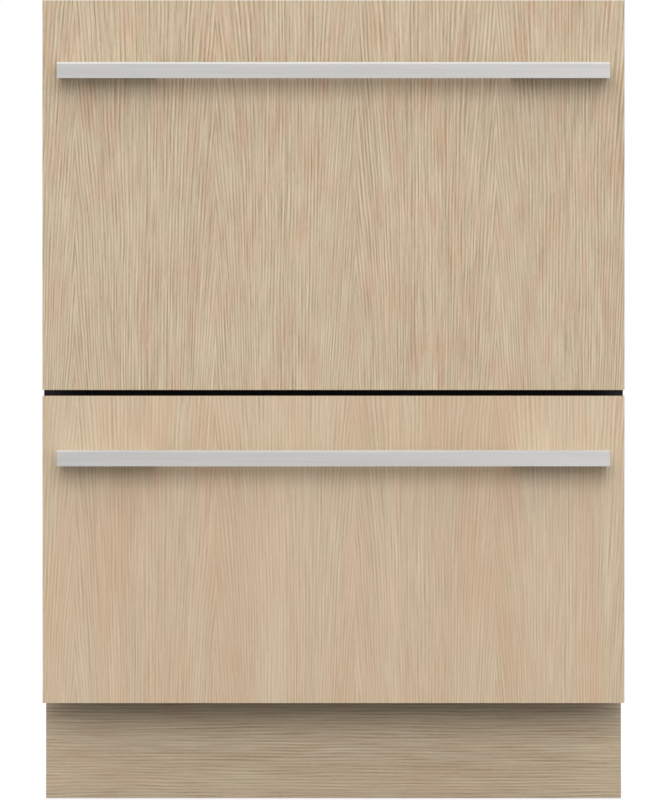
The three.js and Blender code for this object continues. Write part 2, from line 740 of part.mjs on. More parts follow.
function baseRack(drawer) {
  const { floor, rackHeight } = drawer;
  const { half, front, rear, wire, weld } = RACK;
  const low = rackFloor(floor);
  const high = low + rackHeight;
  const barFoot = longWireTop(floor) - weld;
  const across = spread(-116, 206, 5).map((y) =>
    alongY(bentWire([-half, half], low, high), about(y, wire / 2)));
  const long = spread(-208, 208, 5).map((x) =>
    alongX(bentWire([front, rear], low + wire - weld, high), about(x, wire / 2)));
  const legs = RACK_FEET.map(([x, y]) => {
    const inward = x > 0 ? [x - 8, x + 3] : [x - 3, x + 8];
    return block(inward, about(y + Math.sign(y) * 5, 8), [floor + 32 + GAP, low + wire + 1]);
  });
  const tineBar = block(about(0, half - 1), about(TINES.fixed, wire / 2), [barFoot, barFoot + wire]);
  const posts = CUP_RACK.posts.map((y) => cupRackPost(y, high + 1, cupRackRail(drawer)));
  return joined([
    ...across,
    ...long,
    rackRim(high),
    ...legs,
    tineBar,
    ...tineRow(TINES.fixed, low + 2 * wire, TINES.height),
    ...tineSaddles(floor),
    ...posts,
  ]);
}

function foldingTines({ floor }) {
  const axis = foldAxis(floor);
  const half = RACK.wire / 2;
  const spindle = block([TINES.from - 10, TINES.to + 10], about(TINES.folding, half), about(axis, half));
  return joined([spindle, ...tineRow(TINES.folding, axis - half + 0.5, TINES.height)]);
}

function cupRack(drawer) {
  const { rail, edge } = cupRackRail(drawer);
  const { front, rear } = CUP_RACK;
  const { wire } = RACK;
  const end = edge + drawer.cups.width;
  const frame = roundedRectangle([edge, end], [front, rear], 12);
  frame.holes.push(roundedRectangle([edge + wire, end - wire], [front + wire, rear - wire], 9));
  const bars = spread(front + 40, rear - 40, 6).map((y) =>
    block([edge + 1, end - 1], about(y, 1.5), [rail + 0.4, rail + wire - 0.4]));
  return joined([alongZ(frame, [rail, rail + wire], 1), ...bars]);
}

function cutleryBasket({ floor, basketHeight }) {
  const { x, y, wall, cells } = BASKET;
  const low = longWireTop(floor) + GAP;
  const high = low + basketHeight;
  const middle = (x[0] + x[1]) / 2;
  const pitch = (y[1] - y[0] - wall) / cells;
  const starts = Array.from({ length: cells }, (_, i) => y[0] + wall + i * pitch);
  const body = alongZ(roundedRectangle(x, y, 10), [low, high], 1);
  const rooms = starts.map((start) =>
    block([x[0] + wall, x[1] - wall], [start, start + pitch - wall], [low + wall, high + 1]));
  const windows = starts.map((start) =>
    block([x[0] - 1, x[1] + 1], about(start + (pitch - wall) / 2, 14), [low + 12, high - 24]));
  const drains = starts.map((start) =>
    block(about(middle, 24), about(start + pitch / 2, 12), about(low, wall + 1)));
  const [near, far] = [starts[1], starts[3]].map((start) => about(start - wall / 2, 3));
  const grip = alongX(
    outline([
      [near[0], high - 20],
      [near[1], high - 20],
      [near[1], high + 20],
      [far[0], high + 20],
      [far[0], high - 20],
      [far[1], high - 20],
      [far[1], high + 28],
      [near[0], high + 28],
    ]),
    about(middle, 3),
  );
  return without(body, [...rooms, ...windows, ...drains]).add(grip);
}

// ---- Dispenser ----------------------------------------------------------------------------------------
function dispenserPlace(rim) {
  const top = rim - DISPENSER.below;
  const bottom = top - DISPENSER.height;
  const face = tubInside + DISPENSER.plate;
  return { top, bottom, face, cup: bottom + CUP.lift, cap: (top + bottom) / 2 };
}

// It fills a window in the tub's front wall, with a cup for powder and a seat for the rinse-aid cap.
function dispenser(rim) {
  const { top, bottom, face, cup, cap } = dispenserPlace(rim);
  const { half, margin } = DISPENSER;
  const core = block(about(0, half - GAP), [TUB.front + GAP, face - 2], [bottom + GAP, top - GAP]);
  const plateHeight = [bottom - margin, top + margin];
  const plate = board(about(0, half + margin), [tubInside + 1.8, face], plateHeight, 1.4);
  const powderCup = board(
    [CUP.from + 3, CUP.to - 3],
    [face - CUP.deep, face + 3],
    [cup + 3, cup + CUP.height - 3],
    2,
  );
  const capSeat = rod(RINSE.x, cap, RINSE.radius + 0.6, [face - RINSE.deep - 0.5, face + 1], 8);
  return without(core.add(plate), [powderCup, capSeat]);
}

function detergentLid(rim) {
  const { face, cup } = dispenserPlace(rim);
  const latch = (CUP.from + CUP.to) / 2;
  const top = cup + CUP.height;
  const plate = board([CUP.from, CUP.to], [face + GAP, face + 3], [cup, top], 0.8);
  return plate.add(block(about(latch, 8), [face + 2.5, face + 5], [top - 9, top - 5]));
}

function rinseCap(rim) {
  const { face, cap } = dispenserPlace(rim);
  const disc = rod(RINSE.x, cap, RINSE.radius, [face - RINSE.deep, face + 1.5], 8);
  return disc.add(block(about(RINSE.x, 2.5), [face, face + 5.5], about(cap, RINSE.radius - 3)));
}

// ---- Assembly -----------------------------------------------------------------------------------------
const SIDES = [["left", -1], ["right", 1]];

function buildCabinet() {
  const cabinet = new THREE.Group();
  for (const [label, side] of SIDES) add(cabinet, `${label}_wall`, cabinetSide(side), GALVANISED);
  add(cabinet, "top_sheet", cabinetTop(), GALVANISED);
  add(cabinet, "rear_panel", rearPanel(), GALVANISED);
  add(cabinet, "base_pan", basePan(), GALVANISED);
  add(cabinet, "centre_rail", centreRail(), BLACK_STEEL);
  add(cabinet, "kick_panel", kickPanel(), OAK_KICK);
  add(cabinet, "inlet_valve", inletValve(), VALVE_PLASTIC);
  for (const { name, x, y } of feetPlaces) add(cabinet, name, foot(x, y), MOTOR_PLASTIC);
  return cabinet;
}

function buildDrawer(place, drawer) {
  const group = new THREE.Group();
  const { front, rim, floor } = drawer;
  const put = (name, solid, material) => add(group, `${place}_${name}`, solid, material);
  for (const [label, side] of SIDES) {
    for (const [member, section] of Object.entries(CHANNELS)) {
      put(`${label}_${member}_slide`, slideChannel(side, section, slideHeight(drawer)), BRIGHT_STEEL);
    }
  }
  put("lid", lid(rim), LID_PLASTIC);
  put("lid_seal", lidSeal(rim), RUBBER);
  put("front_panel", woodenFront(front), OAK);
  put("handle", barHandle(front.handle), ALUMINIUM);
  put("door_housing", doorHousing(front), DOOR_PLASTIC);
  for (const [name, x] of Object.entries(KEYS)) {
    put(`${name}_key`, key(x, front.top - DOOR.inset), KEY_PLASTIC);
  }
  put("tub", tub(drawer), TUB_PLASTIC);
  put("wash_motor", washMotor(floor), MOTOR_PLASTIC);
  put("filter_plate", filterPlate(floor), ARM_PLASTIC);
  put("spray_arm", sprayArm(floor), ARM_PLASTIC);
  put("base_rack", baseRack(drawer), WIRE_COAT);
  put("folding_tines", foldingTines(drawer), WIRE_COAT);
  put("cup_rack", cupRack(drawer), WIRE_COAT);
  put("cutlery_basket", cutleryBasket(drawer), BASKET_PLASTIC);
  put("dispenser", dispenser(rim), DOOR_PLASTIC);
  put("detergent_lid", detergentLid(rim), ARM_PLASTIC);
  put("rinse_cap", rinseCap(rim), CAP_PLASTIC);
  return group;
}

const model = new THREE.Group();
model.add(buildCabinet());
for (const [place, drawer] of Object.entries(DRAWERS)) model.add(buildDrawer(place, drawer));

export default model;
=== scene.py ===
"""The looks of a built-in double drawer dishwasher with oak fronts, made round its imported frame."""

import math

import bmesh
import bpy
from bpy.props import FloatProperty, FloatVectorProperty, PointerProperty
from mathutils import Matrix, Vector


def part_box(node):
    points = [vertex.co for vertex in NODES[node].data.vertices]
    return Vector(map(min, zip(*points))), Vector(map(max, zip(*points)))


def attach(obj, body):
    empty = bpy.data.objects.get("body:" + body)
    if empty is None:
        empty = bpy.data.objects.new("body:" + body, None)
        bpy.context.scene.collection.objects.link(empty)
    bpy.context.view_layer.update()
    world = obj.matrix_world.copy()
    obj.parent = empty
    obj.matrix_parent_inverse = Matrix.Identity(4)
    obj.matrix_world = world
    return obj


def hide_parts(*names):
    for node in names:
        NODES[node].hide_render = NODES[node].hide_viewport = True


bl_info = {
    "name": "Double Drawer Dishwasher",
    "version": (1, 0, 0),
    "blender": (4, 5, 0),
    "location": "View3D > Sidebar > Dishwasher",
    "description": "Builds the visible pieces of a built-in dishwasher with two drawers and oak fronts",
    "category": "Add Mesh",
}

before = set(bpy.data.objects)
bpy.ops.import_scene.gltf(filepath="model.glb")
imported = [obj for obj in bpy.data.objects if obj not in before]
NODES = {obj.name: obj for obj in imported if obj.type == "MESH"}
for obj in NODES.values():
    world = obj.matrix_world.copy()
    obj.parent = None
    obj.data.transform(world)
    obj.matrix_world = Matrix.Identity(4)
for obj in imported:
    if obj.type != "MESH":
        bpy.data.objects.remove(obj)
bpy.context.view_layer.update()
DRAWERS = ("upper", "lower")
SIDES = (("left", -1), ("right", 1))


# ---- Numbers and colours ---------------------------------------------------------------------------------
def linear(code):
    """A colour written as sRGB hex, as linear red, green, blue and alpha."""
    parts = [int(code[i:i + 2], 16) / 255 for i in (1, 3, 5)]
    return [c / 12.92 if c <= 0.04045 else ((c + 0.055) / 1.055) ** 2.4 for c in parts] + [1.0]


def shade(colour, factor):
    """A linear colour made darker or lighter."""
    return [min(1.0, c * factor) for c in colour[:3]] + [1.0]


def span(node):
    """The lowest and highest corner of a frame node, in millimetres."""
    low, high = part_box(node)
    return low * 1000, high * 1000


def colour_property(name, code, description):
    """A setting for a colour, with its start value as sRGB hex."""
    return FloatVectorProperty(
        name=name, description=description, subtype="COLOR", size=4, min=0.0, max=1.0, default=linear(code))


def length_property(name, millimetres, description):
    """A setting for a length, with its start value in millimetres."""
    return FloatProperty(
        name=name, description=description, subtype="DISTANCE", unit="LENGTH", default=millimetres / 1000,
        min=0.0, precision=5)


def in_mm(metres):
    """A setting's length in millimetres. Blender keeps it in metres."""
    return metres * 1000


# ---- Settings --------------------------------------------------------------------------------------------
class FrontSettings(bpy.types.PropertyGroup):
    pale: colour_property("Pale wood", "#DFCEB2", "Earlywood between the grain lines")
    middle: colour_property("Wood", "#C9B69B", "Mean colour of the oak")
    dark: colour_property("Grain lines", "#A99373", "Latewood lines and pores")
    blush: colour_property("Blush", "#D3B294", "Pinkish patches in the oak")
    edge: length_property("Eased edge", 0.9, "Rounding round the front boards")
    leaf: length_property("Veneer leaf", 143.3, "Width of one leaf of veneer")
    line: length_property("Ring spacing", 3.4, "Distance between two grain lines")


class HandleSettings(bpy.types.PropertyGroup):
    metal: colour_property("Aluminium", "#E6E5E2", "Colour of the brushed bar")
    edge: length_property("Edge", 0.35, "Rounding of the bar's ends and feet")
    top: length_property("Top chamfer", 2.0, "Chamfer along the top of the bar's face")
    undercut: length_property("Undercut", 0.55, "How far the bar's underside lies above its box at the front")


class CabinetSettings(bpy.types.PropertyGroup):
    zinc: colour_property("Galvanised sheet", "#B9BCBE", "Colour of the zinc on the sheet steel")
    # The rail's near-black is partly its black coat and partly painted shade: it keeps the deep gap between the
    # two fronts black.
    rail: colour_property("Rail", "#0B0B0B", "Black powder coat of the middle rail")


class PlasticSettings(bpy.types.PropertyGroup):
    tub: colour_property("Tub", "#D5D8DA", "Polypropylene of the tubs")
    door: colour_property("Door housing", "#4B4F53", "ABS of the door housings")
    lid: colour_property("Lid", "#C6CACC", "Polypropylene of the lids")
    basket: colour_property("Basket", "#868F96", "Polypropylene of the cutlery baskets")
    arm: colour_property("Arm", "#7F878D", "Polypropylene of arms and filters")
    key: colour_property("Keys", "#E6E7E8", "ABS of the keys")
    cap: colour_property("Rinse cap", "#35659A", "Polypropylene of the rinse-aid caps")


class RackSettings(bpy.types.PropertyGroup):
    coat: colour_property("Wire coat", "#8F99A1", "Nylon coat of the rack wires")
    wire: length_property("Wire", 3.6, "Thickness of the coated wires")


# ---- Materials -------------------------------------------------------------------------------------------
def add_node(tree, kind, inputs=(), stops=(), **settings):
    """Adds a shader node with its settings, its inputs by order or by name, and the stops of a ramp."""
    node = tree.nodes.new("ShaderNode" + kind)
    for name, value in settings.items():
        setattr(node, name, value)
    for i, (position, colour) in enumerate(stops):
        elements = node.color_ramp.elements
        element = elements[0] if i == 0 else elements[-1] if i == len(stops) - 1 else elements.new(position)
        element.position, element.color = position, colour
    for key, value in inputs.items() if isinstance(inputs, dict) else enumerate(inputs):
        source = value.outputs[0] if isinstance(value, bpy.types.Node) else value
        if isinstance(source, bpy.types.NodeSocket):
            tree.links.new(source, node.inputs[key])
        else:
            node.inputs[key].default_value = source
    return node


def blank_material(name):
    """A new material, its node tree, and in that the place on the object in millimetres."""
    material = bpy.data.materials.new(name)
    material.use_nodes = True
    tree = material.node_tree
    tree.nodes.clear()
    place = add_node(tree, "TexCoord").outputs["Object"]
    return material, tree, add_node(tree, "VectorMath", {0: place, "Scale": 1000.0}, operation="SCALE")


def finish_material(material, **sockets):
    """Ends a material in its shader. Underscores in a socket's name stand for spaces."""
    named = {name.replace("_", " "): value for name, value in sockets.items()}
    shader = add_node(material.node_tree, "BsdfPrincipled", named)
    add_node(material.node_tree, "OutputMaterial", [shader])
    return material


def patches(tree, place, size, seed=0.0, detail=2.0, roughness=0.5):
    """Soft noise from 0 to 1, whose patches are some millimetres long along X, Y and Z."""
    steps, offset = [1 / s for s in size], (seed, seed * 1.7, seed * 0.6)
    fitted = add_node(tree, "VectorMath", [place, steps, offset], operation="MULTIPLY_ADD")
    inputs = {"Vector": fitted, "Scale": 1.0, "Detail": detail, "Roughness": roughness}
    return add_node(tree, "TexNoise", inputs).outputs[0]


def oak_veneer(
        name, settings, across, along, seed, middle=0.0, contrast=1.0, lean=0.074, tint=1.0, pink=0.5,
        stain=(17, 62, 0.47, 0.74), through=40):
    """Rift-cut oak veneer, laid in matched leaves under matt lacquer.

    The rings of the log meet each leaf as fine lines 3.4 mm apart. They run straight at its edges and lean
    together by its middle. Yellow and pinkish bands lie over them, and fine pores break them up.
    """
    def stretched(wide, tall):
        return [{across: wide, along: tall}.get(axis, through) for axis in "XYZ"]

    material, tree, place = blank_material(name)
    axes = add_node(tree, "SeparateXYZ", [place])
    leaf, line = in_mm(settings.leaf), in_mm(settings.line)
    half_leaf, first_joint = leaf / 2, 10 * leaf - 27.8
    sway_by, shiver_by, wobble_by, next_leaf = 9.0, 1.5, 9.5, 31.7
    sway = patches(tree, place, stretched(60, 240), seed)
    shiver = patches(tree, place, stretched(16, 75), seed + 3)
    moved = add_node(tree, "Math", [sway, sway_by, axes.outputs[across]], operation="MULTIPLY_ADD")
    moved = add_node(tree, "Math", [shiver, shiver_by, moved], operation="MULTIPLY_ADD")
    moved = add_node(tree, "Math", [moved, first_joint], operation="ADD")
    off_middle = add_node(tree, "Math", [moved, half_leaf], operation="PINGPONG")
    near = add_node(
        tree, "MapRange", {"Value": off_middle, "From Max": 0.45 * leaf, "To Min": lean, "To Max": 0.0},
        interpolation_type="SMOOTHSTEP")
    up = add_node(tree, "Math", [axes.outputs[along], middle], operation="SUBTRACT")
    leant = add_node(tree, "Math", [up, near, off_middle], operation="MULTIPLY_ADD")
    side = add_node(tree, "Math", [moved, half_leaf], operation="DIVIDE")
    side = add_node(tree, "Math", [side], operation="FLOOR")
    layer = add_node(tree, "Math", [side, next_leaf, seed * 5], operation="MULTIPLY_ADD")
    grain = add_node(tree, "CombineXYZ", [leant, layer, up])
    wobble = patches(tree, grain, (22, 1.0, 190), seed + 5)
    strength = patches(tree, grain, (6, 1.0, 80), seed + 7, detail=1.0)
    phase = add_node(tree, "Math", [leant, math.tau / line], operation="MULTIPLY")
    phase = add_node(tree, "Math", [wobble, wobble_by, phase], operation="MULTIPLY_ADD")
    swell = add_node(
        tree, "MapRange", {"Value": strength, "From Min": 0.3, "From Max": 0.7, "To Min": 0.08, "To Max": 0.58})
    rings = add_node(tree, "Math", [phase], operation="SINE")
    rings = add_node(tree, "Math", [rings, swell], operation="MULTIPLY")
    lines = patches(tree, grain, (line / 3.5, 1.0, 46), seed + 6, detail=1.0)
    pores = patches(tree, grain, (0.8, 1.0, 7), seed + 9, detail=1.0)
    bands = patches(tree, grain, (24, 1.0, 420), seed + 11, detail=3.0)
    tone = add_node(tree, "Math", [rings, 0.5 * contrast, 0.5], operation="MULTIPLY_ADD")
    for pattern, weight in ((lines, 1.2 * contrast), (pores, 0.4 * contrast), (bands, 0.25)):
        centred = add_node(tree, "Math", [pattern, 0.5], operation="SUBTRACT")
        tone = add_node(tree, "Math", [centred, weight, tone], operation="MULTIPLY_ADD")
    stops = ((0.1, settings.dark), (0.5, settings.middle), (0.9, settings.pale))
    wood = add_node(tree, "ValToRGB", [tone], stops=[(at, shade(colour, tint)) for at, colour in stops])
    wide, tall, least, most = stain
    blush = patches(tree, place, stretched(wide, tall), seed + 13)
    share = add_node(
        tree, "MapRange", {"Value": blush, "From Min": least, "From Max": most, "To Min": 0.0, "To Max": pink})
    colour = add_node(tree, "MixRGB", [share, wood, settings.blush], blend_type="COLOR")
    relief = add_node(tree, "Bump", {"Strength": 0.1, "Distance": 0.0002, "Height": tone})
    gloss = add_node(tree, "Math", [lines, 0.16, 0.44], operation="MULTIPLY_ADD")
    return finish_material(material, Base_Color=colour, Roughness=gloss, Normal=relief, IOR=1.48)


def brushed_aluminium(name, colour):
    """Extruded aluminium, brushed along its length and clear anodised.

    The brushing leaves fine streaks, which soften what the bar mirrors.
    """
    material, tree, place = blank_material(name)
    streaks = patches(tree, place, (70, 0.9, 0.9), 2.0, detail=3.0, roughness=0.65)
    broad = patches(tree, place, (180, 20, 6), 4.0)
    gloss = add_node(tree, "Math", [streaks, 0.2, 0.27], operation="MULTIPLY_ADD")
    tone = add_node(tree, "Math", [streaks, 0.6, broad], operation="MULTIPLY_ADD")
    tint = add_node(tree, "ValToRGB", [tone], stops=((0.45, shade(colour, 0.93)), (1.1, shade(colour, 1.05))))
    relief = add_node(tree, "Bump", {"Strength": 0.08, "Distance": 0.0001, "Height": streaks})
    return finish_material(material, Base_Color=tint, Metallic=1.0, Roughness=gloss, Normal=relief)


def galvanised_steel(name, colour):
    """Hot-dip galvanised sheet: flat crystals of zinc some 9 mm across, each a little lighter or duller."""
    material, tree, place = blank_material(name)
    wander = patches(tree, place, (7, 7, 7), 1.0)
    nudged = add_node(tree, "VectorMath", [place, wander], operation="ADD")
    crystals = add_node(tree, "TexVoronoi", {"Vector": nudged, "Scale": 0.11, "Randomness": 1.0})
    grey = add_node(tree, "SeparateXYZ", [crystals.outputs["Color"]])
    tint = add_node(tree, "ValToRGB", [grey], stops=((0.0, shade(colour, 0.9)), (1.0, shade(colour, 1.06))))
    gloss = add_node(tree, "Math", [grey.outputs[1], 0.18, 0.34], operation="MULTIPLY_ADD")
    dull = patches(tree, place, (90, 90, 90), 5.0, detail=3.0)
    gloss = add_node(tree, "Math", [dull, 0.14, gloss], operation="MULTIPLY_ADD")
    relief = add_node(tree, "Bump", {"Strength": 0.05, "Distance": 0.0001, "Height": grey})
    return finish_material(material, Base_Color=tint, Metallic=0.92, Roughness=gloss, Normal=relief)


def rolled_steel(name, colour):
    """Cold-rolled steel, zinc plated bright: drawn streaks along the channel and a smear of grease."""
    material, tree, place = blank_material(name)
    streaks = patches(tree, place, (1.4, 90, 1.4), 3.0, detail=3.0)
    smear = patches(tree, place, (30, 60, 12), 6.0)
    gloss = add_node(tree, "Math", [streaks, 0.16, 0.16], operation="MULTIPLY_ADD")
    gloss = add_node(tree, "Math", [smear, 0.16, gloss], operation="MULTIPLY_ADD")
    tint = add_node(tree, "ValToRGB", [smear], stops=((0.3, shade(colour, 0.88)), (0.7, shade(colour, 1.02))))
    relief = add_node(tree, "Bump", {"Strength": 0.06, "Distance": 0.0001, "Height": streaks})
    return finish_material(material, Base_Color=tint, Metallic=1.0, Roughness=gloss, Normal=relief)


def powder_coat(name, colour):
    """Powder coat baked on steel: an even satin skin with the faint orange peel that such a coat dries to."""
    material, tree, place = blank_material(name)
    peel = patches(tree, place, (2.2, 2.2, 2.2), 1.0, detail=1.0)
    gloss = add_node(tree, "Math", [peel, 0.12, 0.5], operation="MULTIPLY_ADD")
    tint = add_node(tree, "ValToRGB", [peel], stops=((0.3, shade(colour, 0.8)), (0.7, shade(colour, 1.25))))
    relief = add_node(tree, "Bump", {"Strength": 0.12, "Distance": 0.0002, "Height": peel})
    return finish_material(material, Base_Color=tint, Roughness=gloss, Normal=relief, IOR=1.5)


def moulded_plastic(name, colour, roughness, scatter=0.0):
    """Injection moulded plastic: the fine spark grain of the tool, and a slow drift in tone from the flow.

    The real grain is about 0.1 mm, too fine to show, so it is drawn a millimetre or so wide.
    """
    grain = 1.4
    material, tree, place = blank_material(name)
    spark = patches(tree, place, (grain, grain, grain), 1.0, roughness=0.6)
    flow = patches(tree, place, (120, 90, 70), 4.0)
    gloss = add_node(tree, "Math", [spark, 0.12, roughness - 0.06], operation="MULTIPLY_ADD")
    drift = add_node(tree, "Math", [spark, 0.25, flow], operation="MULTIPLY_ADD")
    tint = add_node(tree, "ValToRGB", [drift], stops=((0.35, shade(colour, 0.94)), (0.9, shade(colour, 1.04))))
    relief = add_node(tree, "Bump", {"Strength": 0.1, "Distance": 0.0002, "Height": spark})
    return finish_material(
        material, Base_Color=tint, Roughness=gloss, Normal=relief, IOR=1.49,
        Subsurface_Weight=scatter, Subsurface_Scale=0.002)


def studio_floor(name, colour):
    """Painted studio floor: pale, quite matt, with the slight unevenness of a rolled coat.

    It is lit up to white where it is seen, and throws back no more light than a grey floor.
    """
    material, tree, place = blank_material(name)
    rolled = patches(tree, place, (400, 300, 400), 2.0)
    tint = add_node(tree, "ValToRGB", [rolled], stops=((0.2, shade(colour, 0.98)), (0.8, colour)))
    seen = add_node(tree, "LightPath").outputs["Is Camera Ray"]
    glow = add_node(tree, "Math", [seen, 0.82], operation="MULTIPLY")
    return finish_material(
        material, Base_Color=tint, Roughness=0.9, Specular_IOR_Level=0.1, Emission_Color=linear("#FFFFFF"),
        Emission_Strength=glow)


# ---- Meshes, in millimetres ------------------------------------------------------------------------------
PLACE_ON = {
    "x": lambda a, b, t: (t, a, b),
    "y": lambda a, b, t: (a, t, b),
    "z": lambda a, b, t: (a, b, t),
}


def loft(bm, rings, hollow=False):
    """A skin through rings of points, with both ends closed. A ring of one point is a tip.

    A hollow piece has no ends: its last ring is joined to its first.
    """
    made = [[bm.verts.new(point) for point in ring] for ring in rings]
    for low, high in zip(made, made[1:] + (made[:1] if hollow else [])):
        count = max(len(low), len(high))
        for i in range(count):
            j = (i + 1) % count
            corners = (low[i % len(low)], low[j % len(low)], high[j % len(high)], high[i % len(high)])
            bm.faces.new(dict.fromkeys(corners))
    for ring in (made[0], made[-1]):
        if len(ring) > 1 and not hollow:
            bm.faces.new(ring)


def prism(bm, points, ends, axis):
    """Pushes an outline along an axis, from one end to the other."""
    loft(bm, [[PLACE_ON[axis](a, b, t) for a, b in points] for t in ends])


def block(bm, x, y, z):
    """A box between two places along each of X, Y and Z."""
    prism(bm, ((x[0], y[0]), (x[1], y[0]), (x[1], y[1]), (x[0], y[1])), z, "z")


def about(middle, half):
    """The two places at some distance to either side of a middle."""
    return middle - half, middle + half


def spaced(low, high, inset, count):
    """Places set out evenly between two ends, the first and last at some inset."""
    return [low + inset + (high - low - 2 * inset) * k / (count - 1) for k in range(count)]


def rounded(x, y, radius, steps=6):
    """The outline of a rectangle with round corners, anticlockwise."""
    centres = [(x[1], y[1], 0), (x[0], y[1], 1), (x[0], y[0], 2), (x[1], y[0], 3)]
    points = []
    for cx, cy, quarter in centres:
        middle_x = cx - radius if quarter in (0, 3) else cx + radius
        middle_y = cy - radius if quarter in (0, 1) else cy + radius
        for i in range(steps + 1):
            angle = (quarter + i / steps) * math.pi / 2
            points.append((middle_x + radius * math.cos(angle), middle_y + radius * math.sin(angle)))
    return points


def level(half, front, rear, corner, z, steps=10):
    """One ring of a moulding: a rectangle with round corners at some height."""
    return [(x, y, z) for x, y in rounded((-half, half), (front, rear), corner, steps)]


def flowing(levels, between=4):
    """Rows of numbers with more rows in between, on a smooth curve through the given ones."""
    rows = []
    for i in range(len(levels) - 1):
        around = [levels[min(max(i + k, 0), len(levels) - 1)] for k in (-1, 0, 1, 2)]
        for k in range(between):
            t = k / between
            weights = (
                -t ** 3 + 2 * t ** 2 - t,
                3 * t ** 3 - 5 * t ** 2 + 2,
                -3 * t ** 3 + 4 * t ** 2 + t,
                t ** 3 - t ** 2)
            rows.append([sum(w * row[n] for w, row in zip(weights, around)) / 2 for n in range(len(levels[i]))])
    return rows + [list(levels[-1])]


def lathe(bm, profile, centre, segments=48, axis="z", hollow=False):
    """Turns a profile of radius and height about an axis through the centre. Radius 0 closes an end."""
    rings = []
    for radius, height in profile:
        turn = [k * math.tau / segments for k in range(segments if radius else 1)]
        ring = [PLACE_ON[axis](radius * math.cos(a), radius * math.sin(a), height) for a in turn]
        rings.append([Vector(point) + Vector(centre) for point in ring])
    loft(bm, rings, hollow)


def rounded_path(points, bend, steps=5):
    """A path with each corner turned into an arc of some bend radius."""
    points = [Vector(p) for p in points]
    path = points[:1]
    for previous, corner, following in zip(points, points[1:], points[2:]):
        before, after = previous - corner, following - corner
        angle = before.angle(after)
        reach = min(bend / math.tan(angle / 2), before.length * 0.49, after.length * 0.49)
        radius = reach * math.tan(angle / 2)
        back, onward = before.normalized(), after.normalized()
        start, end = corner + back * reach, corner + onward * reach
        centre = corner + (back + onward).normalized() * (radius / math.sin(angle / 2))
        for k in range(steps + 1):
            path.append(centre + (start - centre).slerp(end - centre, k / steps))
    return path + points[-1:]


def tube(bm, path, radius, sides, closed=False):
    """A round wire along a path, with rounded ends."""
    path = [Vector(p) for p in path]
    tangents = []
    for i, point in enumerate(path):
        before = path[i - 1] if i or closed else point
        after = path[(i + 1) % len(path)] if i + 1 < len(path) or closed else point
        tangents.append((after - before).normalized())
    normal = tangents[0].orthogonal().normalized()
    frames = []
    for point, tangent in zip(path, tangents):
        normal = (normal - tangent * normal.dot(tangent)).normalized()
        frames.append((point, tangent, normal, radius))
    if not closed:
        for at, sign in ((0, -1), (-1, 1)):
            point, tangent, normal, _ = frames[at]
            dome = [(point + tangent * sign * radius * math.sin(a), tangent, normal, radius * math.cos(a))
                    for a in (math.pi / 6, math.pi / 3, math.pi / 2.15)]
            frames = dome[::-1] + frames if sign < 0 else frames + dome
    rings = []
    for point, tangent, normal, size in frames:
        side = tangent.cross(normal)
        turn = [k * math.tau / sides for k in range(sides)]
        rings.append([point + (normal * math.cos(a) + side * math.sin(a)) * size for a in turn])
    loft(bm, rings, closed)


def spokes(bm, centre, count, place, size):
    """Bars set round a centre, as the spokes of a wheel."""
    for k in range(count):
        turn = Matrix.Translation(centre) @ Matrix.Rotation(k * math.tau / count, 4, "Z")
        bar = bmesh.ops.create_cube(bm, size=1.0)["verts"]
        set_out = turn @ Matrix.Translation(place) @ Matrix.Diagonal((*size, 1))
        bmesh.ops.transform(bm, matrix=set_out, verts=bar)


def mesh_from(name, bm):
    """Puts a bmesh into a new mesh and frees it."""
    mesh = bpy.data.meshes.new(name)
    bm.to_mesh(mesh)
    bm.free()
    return mesh


def add_object(name, data):
    """A new object in the scene."""
    made = bpy.data.objects.new(name, data)
    bpy.context.scene.collection.objects.link(made)
    return made


def ease_edges(bm, width, segments=2, over=32, clamp=True):
    """Rounds every edge that turns by more than some degrees.

    With clamp the width shrinks until no two roundings meet. Without it every rounding keeps its full width.
    """
    edges = [e for e in bm.edges if len(e.link_faces) == 2 and e.calc_face_angle(0) > math.radians(over)]
    bmesh.ops.bevel(
        bm, geom=edges, offset=width, segments=segments, profile=0.5, affect="EDGES", clamp_overlap=clamp,
        loop_slide=clamp)


def smooth_faces(bm):
    """Shades the mesh smooth, but for edges that turn by more than 38 degrees."""
    sharp = math.radians(38)
    for face in bm.faces:
        face.smooth = True
    for edge in bm.edges:
        edge.smooth = len(edge.link_faces) == 2 and edge.calc_face_angle(0) < sharp


def add_eased(bm, width, shape, *sizes, material=0, segments=2):
    """Makes one part of a piece by itself, rounds its edges and adds it to the rest."""
    part = bmesh.new()
    shape(part, *sizes)
    bmesh.ops.recalc_face_normals(part, faces=part.faces)
    if width:
        ease_edges(part, width, segments)
    for face in part.faces:
        face.material_index = material
    mesh = mesh_from("part", part)
    bm.from_mesh(mesh)
    bpy.data.meshes.remove(mesh)


def cut(bm, tool):
    """Takes one solid out of another, and gives what is left."""
    holders = []
    for part in (bm, tool):
        bmesh.ops.recalc_face_normals(part, faces=part.faces)
        holders.append(add_object("solid", mesh_from("solid", part)))
    taken = holders[0].modifiers.new("Cut", "BOOLEAN")
    taken.operation = "DIFFERENCE"
    taken.object = holders[1]
    taken.solver = "EXACT"
    left = bmesh.new()
    left.from_object(holders[0], bpy.context.evaluated_depsgraph_get())
    for holder in holders:
        mesh = holder.data
        bpy.data.objects.remove(holder)
        bpy.data.meshes.remove(mesh)
    return left


def finish_piece(name, bm, materials, body, node):
    """Turns a mesh in millimetres into a piece that stands for a frame node and rides on a body."""
    bmesh.ops.recalc_face_normals(bm, faces=bm.faces)
    smooth_faces(bm)
    bm.transform(Matrix.Scale(0.001, 4))
    piece = add_object(name, mesh_from(name, bm))
    for material in materials:
        piece.data.materials.append(material)
    weighted = piece.modifiers.new("Even shading", "WEIGHTED_NORMAL")
    weighted.keep_sharp = True
    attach(piece, body)
    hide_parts(node)


